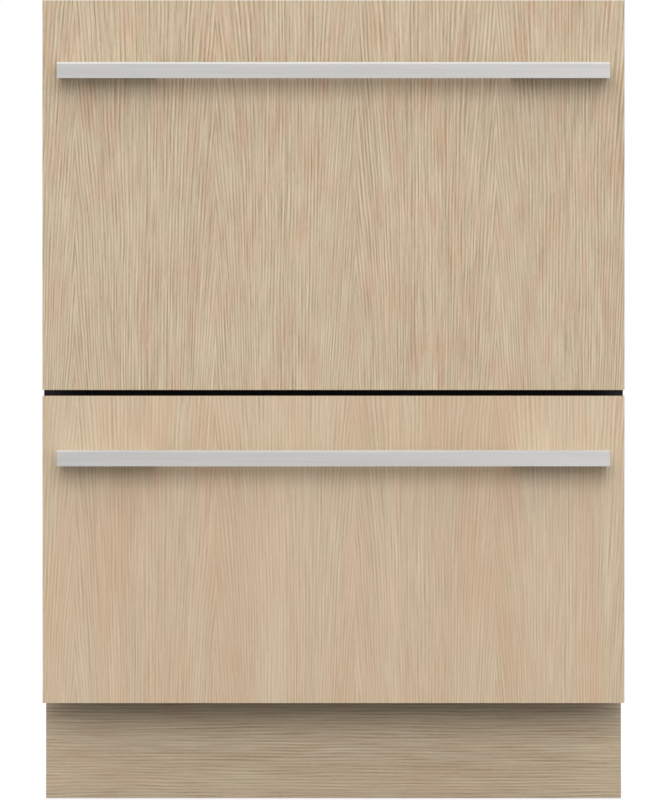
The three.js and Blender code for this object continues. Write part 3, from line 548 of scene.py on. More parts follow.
def finish_in_drawer(place, name, bm, materials, node, body="drawer"):
    """Finishes a piece of the upper or lower drawer. It rides on the drawer, or on another body in it."""
    finish_piece(f"{place}_{name}", bm, materials, f"{place}_{body}", f"{place}_{node}")


def copy_of(node):
    """The flat-faced form of a frame node as a mesh in millimetres, ready to be eased."""
    bm = bmesh.new()
    bm.from_mesh(NODES[node].data)
    bm.transform(Matrix.Scale(1000, 4))
    bmesh.ops.remove_doubles(bm, verts=bm.verts, dist=0.01)
    bmesh.ops.dissolve_limit(bm, angle_limit=math.radians(1), verts=bm.verts, edges=bm.edges)
    return bm


def eased_copy(node, name, material, body, width):
    """A piece in the form of a frame node, with its edges rounded."""
    bm = copy_of(node)
    ease_edges(bm, width, clamp=False)
    finish_piece(name, bm, [material], body, node)


# ---- Pieces ----------------------------------------------------------------------------------------------
def ease_board(node, edge):
    """A board of a frame node's size with eased edges."""
    bm = bmesh.new()
    low, high = span(node)
    block(bm, *zip(low, high))
    ease_edges(bm, in_mm(edge), segments=3)
    return bm


def mark_edges(bm):
    """Gives the narrow faces round a board the second material."""
    for face in bm.faces:
        if abs(face.normal.y) < 0.5:
            face.material_index = 1


class DISHWASHER_OT_fronts(bpy.types.Operator):
    """Makes the two veneered drawer fronts and the kick board"""

    bl_idname = "dishwasher.fronts"
    bl_label = "Oak fronts"

    def execute(self, context):
        settings = context.scene.dishwasher_fronts
        # Each board's tint scales the brightness of its wood. The lower front's higher tint (1.08 against 1.01)
        # is painted light: it lightens the same oak to make up for the light that falls less on the lower
        # front.
        looks = {
            "upper": {"contrast": 0.93, "tint": 1.01, "pink": 0.8},
            "lower": {"contrast": 0.53, "tint": 1.08, "pink": 0.66, "stain": (26, 170, 0.36, 0.72)},
        }
        for seed, place in enumerate(DRAWERS):
            low, high = span(f"{place}_front_panel")
            middle = (low.z + high.z) / 2
            face = oak_veneer(f"oak_veneer_{place}", settings, "X", "Z", 2.0 + seed * 4, middle, **looks[place])
            lipping = oak_veneer(
                f"oak_lipping_{place}", settings, "Y", "Z", 9.0 + seed, middle, contrast=0.7, lean=0.0,
                through=260)
            bm = ease_board(f"{place}_front_panel", settings.edge)
            bm.normal_update()
            mark_edges(bm)
            finish_in_drawer(place, "oak_front", bm, [face, lipping], "front_panel")
        # The kick board's wood is set darker, at a tint of 0.92.
        kick = oak_veneer("oak_veneer_kick", settings, "Z", "X", 5.0, contrast=0.75, lean=0.0, tint=0.92)
        bm = ease_board("kick_panel", settings.edge)
        finish_piece("oak_kick_board", bm, [kick], "cabinet", "kick_panel")
        return {"FINISHED"}


class DISHWASHER_OT_handles(bpy.types.Operator):
    """Makes the brushed bar handle of each drawer"""

    bl_idname = "dishwasher.handles"
    bl_label = "Bar handles"

    def execute(self, context):
        settings = context.scene.dishwasher_handles
        metal = brushed_aluminium("brushed_aluminium", settings.metal)
        top, undercut = in_mm(settings.top), in_mm(settings.undercut)
        for place in DRAWERS:
            low, high = span(f"{place}_handle")
            back, foot_length, foot_half = low.y + 10, 100, 6.5
            bm = bmesh.new()
            section = (
                (low.y, low.z + undercut), (back, low.z + 3 * undercut), (back, high.z), (low.y + top, high.z),
                (low.y, high.z - top))
            prism(bm, section, (low.x, high.x), "x")
            for _, side in SIDES:
                ends = sorted((side * (high.x - foot_length), side * (high.x - 0.9)))
                block(bm, ends, (back - 0.4, high.y), about((low.z + high.z) / 2, foot_half))
            ease_edges(bm, in_mm(settings.edge), over=60)
            finish_in_drawer(place, "bar_handle", bm, [metal], "handle")
        return {"FINISHED"}


class DISHWASHER_OT_cabinet(bpy.types.Operator):
    """Makes the steel cabinet, its back with its screws, and the middle rail"""

    bl_idname = "dishwasher.cabinet"
    bl_label = "Steel cabinet"

    def execute(self, context):
        settings = context.scene.dishwasher_cabinet
        zinc = galvanised_steel("galvanised_steel", settings.zinc)
        # The middle rail is near-black, partly its coat and partly painted shade that keeps the gap between the
        # fronts black.
        black = powder_coat("black_coat_gap_shade", settings.rail)
        for node, name, material, slot in (
                ("left_wall", "folded_left_wall", zinc, "galvanised_sheet"),
                ("right_wall", "folded_right_wall", zinc, "galvanised_sheet"),
                ("top_sheet", "folded_top", zinc, "galvanised_sheet"),
                ("centre_rail", "black_middle_rail", black, "black_rail")):
            eased_copy(node, name, material, "cabinet", width=0.35)
        bm = copy_of("rear_panel")
        ease_edges(bm, 0.4, clamp=False)
        self.screws(bm)
        finish_piece("pressed_back", bm, [zinc], "cabinet", "rear_panel")
        return {"FINISHED"}

    def screws(self, bm):
        """Pan-head screws down both edges of the back."""
        low, high = span("rear_panel")
        inset, first, rows = 4.5, 20, 6
        head = ((3.6, 0), (3.6, 0.6), (3.0, 1.4), (1.8, 1.9), (0, 2.0))
        for _, side in SIDES:
            for z in spaced(low.z, high.z, first, rows):
                lathe(bm, head, (side * (high.x - inset), high.y, z), segments=20, axis="y")


class DISHWASHER_OT_base(bpy.types.Operator):
    """Makes the base tray, the levelling feet and the water inlet"""

    bl_idname = "dishwasher.base"
    bl_label = "Base"

    def execute(self, context):
        settings = context.scene.dishwasher_cabinet
        zinc = bpy.data.materials.get("galvanised_steel") or galvanised_steel("galvanised_steel", settings.zinc)
        eased_copy("base_pan", "folded_base", zinc, "cabinet", width=0.35)
        nylon = moulded_plastic("glass_filled_nylon_foot", linear("#232527"), 0.55)
        for node in [name for name in NODES if name.startswith("foot_")]:
            self.foot(node, nylon)
        self.inlet(moulded_plastic("nylon_valve", linear("#E8E7E0"), 0.45))
        return {"FINISHED"}

    def foot(self, node, nylon):
        """A round pad, a hexagon for a spanner, and a stem with a 2 mm thread."""
        low, high = span(node)
        centre = ((low.x + high.x) / 2, (low.y + high.y) / 2, 0.0)
        pad, spanner, stem, pitch, turns = 20.6, 10.9, 5.5, 2.0, 4
        bm = bmesh.new()
        plate = (
            (0, 0), (pad - 1.5, 0), (pad - 0.4, 0.6), (pad, 2), (pad, 5), (pad - 1, 6.4), (12, 12), (0, 12))
        lathe(bm, plate, centre)
        hexagon = [(centre[0] + spanner * math.cos(a), centre[1] + spanner * math.sin(a))
                   for a in (k * math.pi / 3 for k in range(6))]
        add_eased(bm, 0.6, prism, hexagon, (11.5, 20.0), "z")
        start, depth = 19, 0.35
        steps = int((high.z - start) / pitch * turns)
        thread = [(stem - depth + depth * math.cos(k * math.tau / turns), start + k * pitch / turns)
                  for k in range(steps)]
        lathe(bm, [(0, start), *thread, (0, high.z)], centre, segments=24)
        finish_piece(f"levelling_{node}", bm, [nylon], node, node)

    def inlet(self, nylon):
        """The threaded nose of the water inlet, its flange, body and coil."""
        low, high = span("inlet_valve")
        x, z, panel = (low.x + high.x) / 2, 76.0, 294.2
        nose, bore, pitch, depth = 13.0, 10, 1.8, 0.5
        ridges = [(nose - depth + depth * math.cos(k * math.pi), panel + 1 + k * pitch / 2)
                  for k in range(int((high.y - panel - 2) / pitch * 2))]
        bm = bmesh.new()
        lathe(bm, ((0, 270), (nose - 1, 270), (nose - 1, panel), *ridges, (nose - 1.2, high.y), (bore, high.y),
                   (bore, high.y - 9), (0, high.y - 9)), (x, 0, z), segments=40, axis="y")
        lathe(bm, ((0, panel - 5.7), (16.6, panel - 5.7), (17, panel - 5), (17, panel - 0.5), (0, panel - 0.5)),
              (x, 0, z), segments=40, axis="y")
        add_eased(bm, 1.6, block, about(x, 12), (panel - 43.7, panel - 21.7), about(z, 14))
        lathe(bm, ((0, 84), (10, 84), (10, 105), (9, 106), (0, 106)), (x, panel - 32.7, 0), segments=32)
        finish_piece("water_inlet", bm, [nylon], "cabinet", "inlet_valve")


class DISHWASHER_OT_slides(bpy.types.Operator):
    """Makes the telescopic slides: three rolled channels a side, with the balls between them"""

    bl_idname = "dishwasher.slides"
    bl_label = "Telescopic slides"

    def execute(self, context):
        steel = rolled_steel("zinc_plated_slide_steel", linear("#C9CCD0"))
        black = moulded_plastic("acetal_ball_cage", linear("#1E1F21"), 0.5)
        for place in DRAWERS:
            for label, side in SIDES:
                middle = f"{place}_{label}_middle_slide"
                for member, body in (("outer", "cabinet"), ("middle", middle), ("inner", f"{place}_drawer")):
                    node = f"{place}_{label}_{member}_slide"
                    bm = bmesh.new()
                    self.channel(bm, node, side, member != "inner")
                    if member == "middle":
                        self.balls(bm, node, side)
                    finish_piece(f"{node}_rolled", bm, [steel, black], body, node)
        return {"FINISHED"}

    def channel(self, bm, node, side, web_outside):
        """A strip of 1.5 mm steel rolled to a channel with round bends."""
        steel, bend = 1.5, 3.4
        low, high = span(node)
        near, far = sorted((abs(low.x), abs(high.x)))
        web, lips = (far, near) if web_outside else (near, far)
        inward = math.copysign(1, lips - web)
        centre, half = (low.z + high.z) / 2, (high.z - low.z) / 2
        x, z, inside = web + inward * bend, half - bend, bend - steel
        outer = [(lips, -half), *self.bend(x, -z, bend, inward, -1),
                 *self.bend(x, z, bend, inward, 1), (lips, half)]
        inner = [(lips, half - steel), *self.bend(x, z, inside, inward, 1)[::-1],
                 *self.bend(x, -z, inside, inward, -1)[::-1], (lips, -half + steel)]
        prism(bm, [(side * x, centre + z) for x, z in outer + inner], (low.y, high.y), "y")
        ease_edges(bm, 0.25, segments=1, over=60)

    def bend(self, x, z, radius, inward, up, steps=5):
        """A quarter round from the flange to the web, or for the upper bend from the web to the flange."""
        angles = [k / steps * math.pi / 2 for k in range(steps + 1)]
        points = [(x - inward * radius * math.sin(a), z + up * radius * math.cos(a)) for a in angles]
        return points if up < 0 else points[::-1]

    def balls(self, bm, node, side):
        """Balls in the tracks between the channels, each row in its cage."""
        low, high = span(node)
        web = max(abs(low.x), abs(high.x))
        middle, half = (low.z + high.z) / 2, (high.z - low.z) / 2
        size, inset, count, start, pitch = 1.15, 4.5, 12, -150.0, 17.0
        for z in (half + 1.25, half - 2.75):
            for up in (-1, 1):
                track = (side * (web - inset), middle + up * z)
                for k in range(count):
                    place = Matrix.Translation((track[0], start + k * pitch, track[1]))
                    bmesh.ops.create_uvsphere(bm, u_segments=10, v_segments=6, radius=size, matrix=place)
                cage = (about(track[0], 2.2), (start - 6, start + count * pitch), about(track[1], 0.4))
                add_eased(bm, 0, block, *cage, material=1)


class DISHWASHER_OT_lids(bpy.types.Operator):
    """Makes the lids that close the tubs, with their ribs, forks and seals"""

    bl_idname = "dishwasher.lids"
    bl_label = "Lids and seals"

    def execute(self, context):
        plastics = context.scene.dishwasher_plastics
        moulding = moulded_plastic("polypropylene_lid", plastics.lid, 0.42)
        rubber = moulded_plastic("extruded_rubber", linear("#2F3133"), 0.75)
        seal_below, skirt = 1, 8
        for place in DRAWERS:
            low, high = span(f"{place}_lid")
            under = low.z - seal_below
            self.lid(place, under, under + skirt, high.z, moulding)
            self.seal(place, under, rubber)
        return {"FINISHED"}

    def ring(self, margin, z):
        """A ring at some margin inside the lid's outline."""
        low, high = span("upper_lid_seal")
        past_seal, corner = 2, 46
        inset = past_seal - margin
        return level(high.x + inset, low.y - inset, high.y + inset, corner - margin / 2, z)

    def lid(self, place, under, shoulder, top, moulding):
        """A tray with a sealing skirt, ribs across and along, and forks that ride on the walls' tongues."""
        bm = bmesh.new()
        rows = (
            (20, under + 1), (16.5, under + 1.4), (14, under + 4), (14, shoulder), (1.6, shoulder),
            (0.4, shoulder + 0.8), (0, shoulder + 2), (0.6, top - 1.4), (2.4, top), (21, top), (22.4, top - 1),
            (25, under + 6.2), (27, under + 5))
        loft(bm, [self.ring(margin, z) for margin, z in rows])
        cross_ribs, long_ribs, forks = (-60, 60, 160), (-150, 0, 150), (-120, 180)
        root, throat, tip, prong, gap = 266, 283.5, 292, 10.5, 4
        fork = ((root, -prong), (tip, -prong), (tip, -gap), (throat, -gap),
                (throat, gap), (tip, gap), (tip, prong), (root, prong))
        for y in cross_ribs:
            add_eased(bm, 0.5, block, (-244, 244), about(y, 1.5), (under + 4, top - 2))
        for x in long_ribs:
            add_eased(bm, 0.5, block, about(x, 1.2), (-174, 240), (under + 4, top - 3))
        for y in forks:
            for _, side in SIDES:
                outline = [(side * x, y + dy) for x, dy in fork]
                add_eased(bm, 0.6, prism, outline, (shoulder + 1, shoulder + 6), "z")
        finish_in_drawer(place, "moulded_lid", bm, [moulding], "lid", "lid")

    def seal(self, place, under, rubber):
        """A hollow gasket round the skirt of the lid."""
        top = under + 7.7
        rows = ((6, under), (4, under + 0.4), (2.4, under + 2.5), (2.8, under + 5), (3.5, top), (12.8, top),
                (12.2, under + 4), (10.4, under + 1.2), (9.5, under))
        bm = bmesh.new()
        loft(bm, [self.ring(margin, z) for margin, z in rows], hollow=True)
        finish_in_drawer(place, "rubber_seal", bm, [rubber], "lid_seal", "lid")


class DISHWASHER_OT_doors(bpy.types.Operator):
    """Makes the moulded housing behind each wooden front, and its keys"""

    bl_idname = "dishwasher.doors"
    bl_label = "Door housings and keys"

    def execute(self, context):
        plastics = context.scene.dishwasher_plastics
        abs_door = moulded_plastic("abs_door", plastics.door, 0.5)
        abs_key = moulded_plastic("abs_key", plastics.key, 0.3)
        for place in DRAWERS:
            housing, drawer = f"{place}_door_housing", f"{place}_drawer"
            eased_copy(housing, f"{place}_moulded_door", abs_door, drawer, width=0.6)
            for key in ("power", "start"):
                node = f"{place}_{key}_key"
                low, high = span(node)
                bm = bmesh.new()
                outline = rounded((low.x, high.x), (low.y, high.y), (high.y - low.y) / 2 - 0.4, steps=8)
                prism(bm, outline, (low.z, high.z), "z")
                ease_edges(bm, 0.7, segments=3)
                finish_piece(f"{place}_{key}_button", bm, [abs_key], node, node)
        return {"FINISHED"}


TUB_MIDDLE = 28.0
SUMP_DEPTH = 36.0


def tub_floor(place):
    """The height of the flat round the sump."""
    return span(f"{place}_tub")[0].z + SUMP_DEPTH


class DISHWASHER_OT_tubs(bpy.types.Operator):
    """Makes each tub: one moulding with its rim, ribs, slide blocks, sump and rack pads"""

    bl_idname = "dishwasher.tubs"
    bl_label = "Tubs"

    def execute(self, context):
        plastics = context.scene.dishwasher_plastics
        moulding = moulded_plastic("polypropylene_tub", plastics.tub, 0.34, scatter=0.05)
        for place in DRAWERS:
            rim, floor = span(f"{place}_tub")[1].z, tub_floor(place)
            bm = bmesh.new()
            loft(bm, self.skin(rim, floor))
            low, high = span(f"{place}_dispenser")
            window = bmesh.new()
            block(window, (low.x + 4, high.x - 4), (-210, high.y - 3), (low.z + 4, high.z - 4))
            bm = cut(bm, window)
            self.ribs(bm, rim, floor)
            finish_in_drawer(place, "moulded_tub", bm, [moulding], "tub")
        return {"FINISHED"}

    def skin(self, rim, floor):
        """Rings up the outside from under the sump, over the rim and down the inside to the sump's floor.

        A row holds a ring's half width, front, rear, corner radius and height.
        """
        def pot(radius, z):
            return level(radius, *about(TUB_MIDDLE, radius), radius - 0.3, z)

        flat = (112, *about(TUB_MIDDLE, 112), 78)
        outside = flowing((
            (*flat, floor - 4), (236, -180, 232, 36, floor + 10), (252, -196, 248, 40, floor + 22),
            (258.5, -201, 253.5, 42, floor + 40), (263.8, -202.7, 258.8, 42, rim - 9)))
        inside = flowing((
            (*flat, floor), (232, -174, 228, 34, floor + 14), (247, -186, 243, 38, floor + 25),
            (254, -189, 249, 38, floor + 42), (260, -190.5, 255, 38, rim - 2)))
        edge = (
            (265.5, -202.7, 260.5, 43, rim - 8.6), (270.4, -202.7, 265.4, 46, rim - 6),
            (271, -202.7, 266, 46, rim - 4.6), (271, -202.7, 266, 46, rim - 0.9),
            (270.2, -202.2, 265.2, 46, rim), (261.2, -191.8, 256.2, 39, rim),
            (260.3, -190.8, 255.3, 38, rim - 0.8))
        walls = [level(*row) for row in (*outside, *edge, *reversed(inside))]
        sump_outside = ((69, -SUMP_DEPTH), (73, -35.4), (79, -28), (79, -5))
        sump_inside = ((76, 0), (75, -1.4), (75, -25), (73, -29.5), (67, -32))
        below, inner = ([pot(radius, floor + z) for radius, z in rows] for rows in (sump_outside, sump_inside))
        return below + walls + inner

    def ribs(self, bm, rim, floor):
        """Ribs up the sides and the back, blocks that the slides are screwed to, and pads for the rack."""
        foot, head = floor + 50, rim - 6
        side_ribs, rear_ribs, rib_half = (-60, 120), (-120, 0, 120), 1.5
        slide_blocks, rack_pads = (-150, 30, 210), (-126, 196)
        for _, side in SIDES:
            profile = [(side * x, z) for x, z in ((258, foot), (267, foot), (267, head), (263, head))]
            for y in side_ribs:
                add_eased(bm, 0.5, prism, profile, about(y, rib_half), "y")
            for y in slide_blocks:
                reach = sorted((side * 259, side * 273.3))
                add_eased(bm, 1.2, block, reach, about(y, 16), (rim - 76, rim - 56))
            for y in rack_pads:
                pad = sorted((side * 203, side * 225))
                add_eased(bm, 3.0, block, pad, about(y, 11), (floor + 9, floor + 32), segments=3)
        for x in rear_ribs:
            profile = ((252, foot), (262, foot), (262, head), (257.5, head))
            add_eased(bm, 0.5, prism, profile, about(x, rib_half), "x")


class DISHWASHER_OT_wash_parts(bpy.types.Operator):
    """Makes the wash motor, the filter plate and the spray arm of each drawer"""

    bl_idname = "dishwasher.wash_parts"
    bl_label = "Wash parts"

    def execute(self, context):
        plastics = context.scene.dishwasher_plastics
        nylon = moulded_plastic("glass_filled_nylon", linear("#232527"), 0.6)
        sieve = moulded_plastic("polypropylene_filter", shade(plastics.arm, 0.8), 0.42)
        grey = moulded_plastic("polypropylene_arm", plastics.arm, 0.36)
        # Near-black plastic for painted shade: a slot on each jet stands for the shade in its opening, which is
        # not cut.
        dark = moulded_plastic("jet_shadow", linear("#202326"), 0.6)
        gap, arm_height = 0.3, 20
        for place in DRAWERS:
            floor = tub_floor(place)
            self.motor(place, floor - SUMP_DEPTH - gap, nylon)
            self.filter(place, floor + gap, sieve)
            self.arm(place, floor + arm_height, [grey, dark])
        return {"FINISHED"}

    def motor(self, place, top, nylon):
        """A flat can with cooling ribs on its shoulder and the drain outlet."""
        bm = bmesh.new()
        centre = (0, TUB_MIDDLE, top)
        can = ((0, -19), (39, -19), (40.6, -18.4), (44, -14), (61, -14), (62.4, -13.4), (65.6, -10.8),
               (66, -10), (66, -2.6), (65.4, -1.6), (60, 0), (0, 0))
        lathe(bm, can, centre, segments=64)
        spokes(bm, centre, 24, place=(52, 0, -15), size=(18, 1.6, 4))
        outlet = ((-12, 12), (TUB_MIDDLE + 58, TUB_MIDDLE + 92), (top - 14, top - 2))
        add_eased(bm, 3.0, block, *outlet, segments=3)
        finish_in_drawer(place, "flat_motor", bm, [nylon], "wash_motor")

    def filter(self, place, base, sieve):
        """Sixty fine spokes between an outer ring and the raised collar of the arm."""
        centre = (0, TUB_MIDDLE, base)
        bm = bmesh.new()
        collar = ((12.6, 13), (23, 13), (30, 0), (53, 0), (53, 3.4), (42, 4.5), (29.6, 16), (28, 17),
                  (13.2, 17), (12.6, 16.4))
        lathe(bm, collar, centre, segments=72, hollow=True)
        lathe(bm, ((90, 0), (104, 0), (104, 2), (103.4, 2.5), (90, 2.9)), centre, segments=96, hollow=True)
        spokes(bm, centre, 60, place=(71.5, 0, 1.5), size=(41, 3.0, 2.2))
        lathe(bm, ((70, 0.2), (73, 0.2), (73, 2.9), (70, 2.9)), centre, segments=72, hollow=True)
        finish_in_drawer(place, "filter_sieve", bm, [sieve], "filter_plate")

    def arm(self, place, low, materials):
        """A blade that narrows to round tips, a domed hub, and jets on its top with dark slots of painted
        shade.
        """
        radius, half, tip, thick = 196, 24, 14, 12
        bm = bmesh.new()
        halves = self.half_blade(radius, half, tip, 1) + self.half_blade(radius, half, tip, -1)
        blade = [(x, TUB_MIDDLE + y) for x, y in halves]
        add_eased(bm, 3.2, prism, blade, (low, low + thick), "z", segments=4)
        hub = ((0, -8), (10.6, -8), (11.6, -7), (11.6, -1), (29, -1), (30, 0), (30, 12), (28, 14.4), (20, 16.6),
               (0, 17))
        lathe(bm, hub, (0, TUB_MIDDLE, low), segments=56)
        jets = ((80, 8), (115, -9), (150, -5), (172, 4))
        for turn in (-1, 1):
            for x, y in jets:
                place_x, place_y = turn * x, TUB_MIDDLE + turn * y
                # A grey boss, then on it a dark slot that is painted shade in place of the jet's opening.
                for width, depth, height, index in ((5.5, 2.6, 0.9, 0), (3.6, 1.0, 1.0, 1)):
                    slot = rounded(about(place_x, width), about(place_y, depth), depth * 0.96, steps=4)
                    add_eased(bm, 0, prism, slot, (low + thick - 1, low + thick + height), "z", material=index)
        finish_in_drawer(place, "wash_arm", bm, materials, "spray_arm", "spray_arm")

    def half_blade(self, radius, half, tip, side, steps=14):
        """One half of the blade's outline, from the waist round the tip and back to the waist."""
        end, shoulder = radius - tip, tip * 1.2
        out = ((0, -half), (60, -half), (120, -shoulder), (end, -tip))
        shares = [self.bezier(k / steps) for k in range(steps)]
        curve = [[sum(w * p[n] for w, p in zip(share, out)) for n in (0, 1)] for share in shares]
        nose = [(end + tip * math.cos(a), tip * math.sin(a))
                for a in (-math.pi / 2 + k * math.pi / 10 for k in range(11))]
        back = [(x, -y) for x, y in reversed(curve[1:])]
        return [(side * x, side * y) for x, y in curve + nose + back]

    def bezier(self, t):
        """The shares of four points in a place along their Bezier curve."""
        return (1 - t) ** 3, 3 * t * (1 - t) ** 2, 3 * t * t * (1 - t), t ** 3


RACK_HALF = 236.2
RACK_HEIGHT = 46
HINGE_PLACE = 20
HINGE_HEIGHT = 11


class DISHWASHER_OT_racks(bpy.types.Operator):
    """Makes the wire racks, the folding tines and the cup racks from round wire"""

    bl_idname = "dishwasher.racks"
    bl_label = "Wire racks"

    def execute(self, context):
        settings = context.scene.dishwasher_racks
        coat = moulded_plastic("nylon_wire_coat", settings.coat, 0.35)
        clips = moulded_plastic("nylon_clips", shade(settings.coat, 0.55), 0.45)
        self.radius = in_mm(settings.wire) / 2
        for place in DRAWERS:
            low = tub_floor(place) + RACK_HEIGHT
            self.base_rack(place, low, [coat, clips])
            self.tines(place, low, coat)
            self.cup_rack(place, coat)
        return {"FINISHED"}

    def wire(self, bm, points, bend=9.0):
        """A wire with an arc at each corner of its path."""
        tube(bm, rounded_path(points, bend), self.radius, sides=12)

    def loop(self, bm, x, y, corner, z):
        """A level wire round a rectangle."""
        tube(bm, [(a, b, z) for a, b in rounded(x, y, corner, steps=8)], self.radius, sides=12, closed=True)

    def tine_row(self, bm, place, y, foot, head):
        """Upright tines, set out between the ends of the folding row."""
        tines, inset = 9, 10
        low, high = span(f"{place}_folding_tines")
        for x in spaced(low.x, high.x, inset, tines):
            self.wire(bm, [(x, y, foot), (x, y, head)])

    def base_rack(self, place, low, materials):
        """Bent wires across and along under a rim, with the fixed tines, posts, saddles and feet."""
        rack_low, rack_high = span(f"{place}_base_rack")
        cups_low, _ = span(f"{place}_cup_rack")
        half, front, rear = RACK_HALF, rack_low.y + 2.4, rack_high.y - 2.4
        cross_wires, long_wires = (-116, -35.5, 45, 125.5, 206), (-208, -104, 0, 104, 208)
        fixed_row, posts, saddles, feet = -72, (-110, 118), (-104, 104), (-131, 201)
        cross, along, row, tips = low + 1.8, low + 4.2, low + 6.6, low + 69.2
        high = low + {"upper": 100, "lower": 78}[place]
        bm = bmesh.new()
        for y in cross_wires:
            self.wire(bm, [(-half, y, high), (-half, y, cross), (half, y, cross), (half, y, high)])
        for x in long_wires:
            self.wire(bm, [(x, front, high), (x, front, along), (x, rear, along), (x, rear, high)])
        self.loop(bm, (-half - 0.6, half + 0.6), (front - 0.6, rear + 0.6), 14, high + 0.8)
        self.wire(bm, [(-half, fixed_row, row), (half, fixed_row, row)])
        self.tine_row(bm, place, fixed_row, row, tips)
        for y in posts:
            self.post(bm, y, high, cups_low.z)
        for x in saddles:
            self.saddle(bm, x, low)
        for _, side in SIDES:
            for y in feet:
                x = sorted((side * 206, side * 217))
                add_eased(bm, 1.6, block, x, about(y, 8), (low - 13.7, low + 4.6), material=1, segments=3)
        finish_in_drawer(place, "wire_rack", bm, materials, "base_rack")

    def post(self, bm, y, high, rail):
        """A wire up from the rim, bent out to a hook for the cup rack and in to a rest."""
        rim, hook, rest, bottom = -RACK_HALF, -250.1, -218, rail - 2.8
        self.wire(bm, [(rim, y, high), (rim, y, bottom), (hook, y, bottom), (hook, y, rail + 3.4)], bend=3.0)
        self.wire(bm, [(rim, y, bottom + 1), (rest, y, bottom + 1)])

    def saddle(self, bm, x, low):
        """A clip on a long wire, open at the top for the spindle of the tines."""
        foot, seat, axis, half, jaw = low + 3.6, low + 8.15, low + HINGE_HEIGHT, 6, 3.4
        profile = ((-half, foot), (half, foot), (half, axis), (jaw, axis), (jaw, seat),
                   (-jaw, seat), (-jaw, axis), (-half, axis))
        outline = [(HINGE_PLACE + y, z) for y, z in profile]
        add_eased(bm, 0.5, prism, outline, about(x, 4), "x", material=1)

    def tines(self, place, low, coat):
        """The row that folds down, on its spindle."""
        box_low, box_high = span(f"{place}_folding_tines")
        axis = low + HINGE_HEIGHT
        bm = bmesh.new()
        self.wire(bm, [(box_low.x, HINGE_PLACE, axis), (box_high.x, HINGE_PLACE, axis)])
        self.tine_row(bm, place, HINGE_PLACE, axis, box_high.z)
        finish_in_drawer(place, "tine_row", bm, [coat], "folding_tines", "folding_tines")

    def cup_rack(self, place, coat):
        """A loop of wire with thinner bars across it."""
        low, high = span(f"{place}_cup_rack")
        r, thin, z, bars, inset = self.radius, 1.5, (low.z + high.z) / 2, 6, 40
        bm = bmesh.new()
        self.loop(bm, (low.x + r, high.x - r), (low.y + r, high.y - r), 10, z)
        for y in spaced(low.y, high.y, inset, bars):
            tube(bm, [(low.x + r, y, z), (high.x - r, y, z)], thin, sides=10)
        finish_in_drawer(place, "cup_shelf", bm, [coat], "cup_rack", "cup_rack")


class DISHWASHER_OT_baskets(bpy.types.Operator):
    """Makes the cutlery baskets with the lattice of their windows"""

    bl_idname = "dishwasher.baskets"
    bl_label = "Cutlery baskets"

    def execute(self, context):
        plastics = context.scene.dishwasher_plastics
        moulding = moulded_plastic("polypropylene_basket", plastics.basket, 0.42)
        for place in DRAWERS:
            bm = copy_of(f"{place}_cutlery_basket")
            ease_edges(bm, 0.45, clamp=False)
            self.lattice(bm, *span(f"{place}_cutlery_basket"))
            finish_in_drawer(place, "lattice_basket", bm, [moulding], "cutlery_basket")
        return {"FINISHED"}

    def lattice(self, bm, low, high):
        """Bars across the window of each cell, level and upright, on both long sides."""
        wall, cells, step, window_half, bar_half, uprights = 2.5, 4, 10.5, 14.2, 0.9, (-4.7, 4.7)
        pitch = (high.y - low.y - wall) / cells
        foot, head = low.z + 12, high.z - 52
        for cell in range(cells):
            y = low.y + wall + cell * pitch + (pitch - wall) / 2
            for x in (low.x + 0.4, high.x - 2.1):
                for k in range(1, int((head - foot) / step) + 1):
                    block(bm, (x, x + 1.7), about(y, window_half), about(foot + k * step, bar_half))
                for shift in uprights:
                    block(bm, (x + 0.1, x + 1.6), about(y + shift, bar_half), (foot - 0.4, head + 0.4))


class DISHWASHER_OT_dispensers(bpy.types.Operator):
    """Makes the dispenser in each tub's front wall, with its cover and cap"""

    bl_idname = "dishwasher.dispensers"
    bl_label = "Dispensers"

    def execute(self, context):
        plastics = context.scene.dishwasher_plastics
        body = moulded_plastic("polypropylene_dispenser", plastics.door, 0.42)
        cover = moulded_plastic("polypropylene_cover", plastics.arm, 0.38)
        cap = moulded_plastic("polypropylene_cap", plastics.cap, 0.38)
        for place in DRAWERS:
            node, lid, drawer = f"{place}_dispenser", f"{place}_detergent_lid", f"{place}_drawer"
            eased_copy(node, f"{place}_dispenser_body", body, drawer, width=0.18)
            eased_copy(lid, f"{place}_powder_cover", cover, lid, width=0.4)
            self.cap(place, cap)
        return {"FINISHED"}

    def cap(self, place, material):
        """A round cap with a grip across it."""
        low, high = span(f"{place}_rinse_cap")
        x, z, radius, face = (low.x + high.x) / 2, (low.z + high.z) / 2, (high.x - low.x) / 2, high.y - 5.5
        bm = bmesh.new()
        profile = ((0, low.y), (radius - 0.6, low.y), (radius, low.y + 0.6), (radius, face + 0.6),
                   (radius - 0.9, face + 1.5), (0, face + 1.5))
        lathe(bm, profile, (x, 0, z), segments=56, axis="y")
        add_eased(bm, 0.9, block, about(x, 2.5), (face, high.y), about(z, radius - 3), segments=3)
        finish_in_drawer(place, "screw_cap", bm, [material], "rinse_cap", "rinse_cap")


OBJECT_MIDDLE = Vector((0, 0, 0.41))


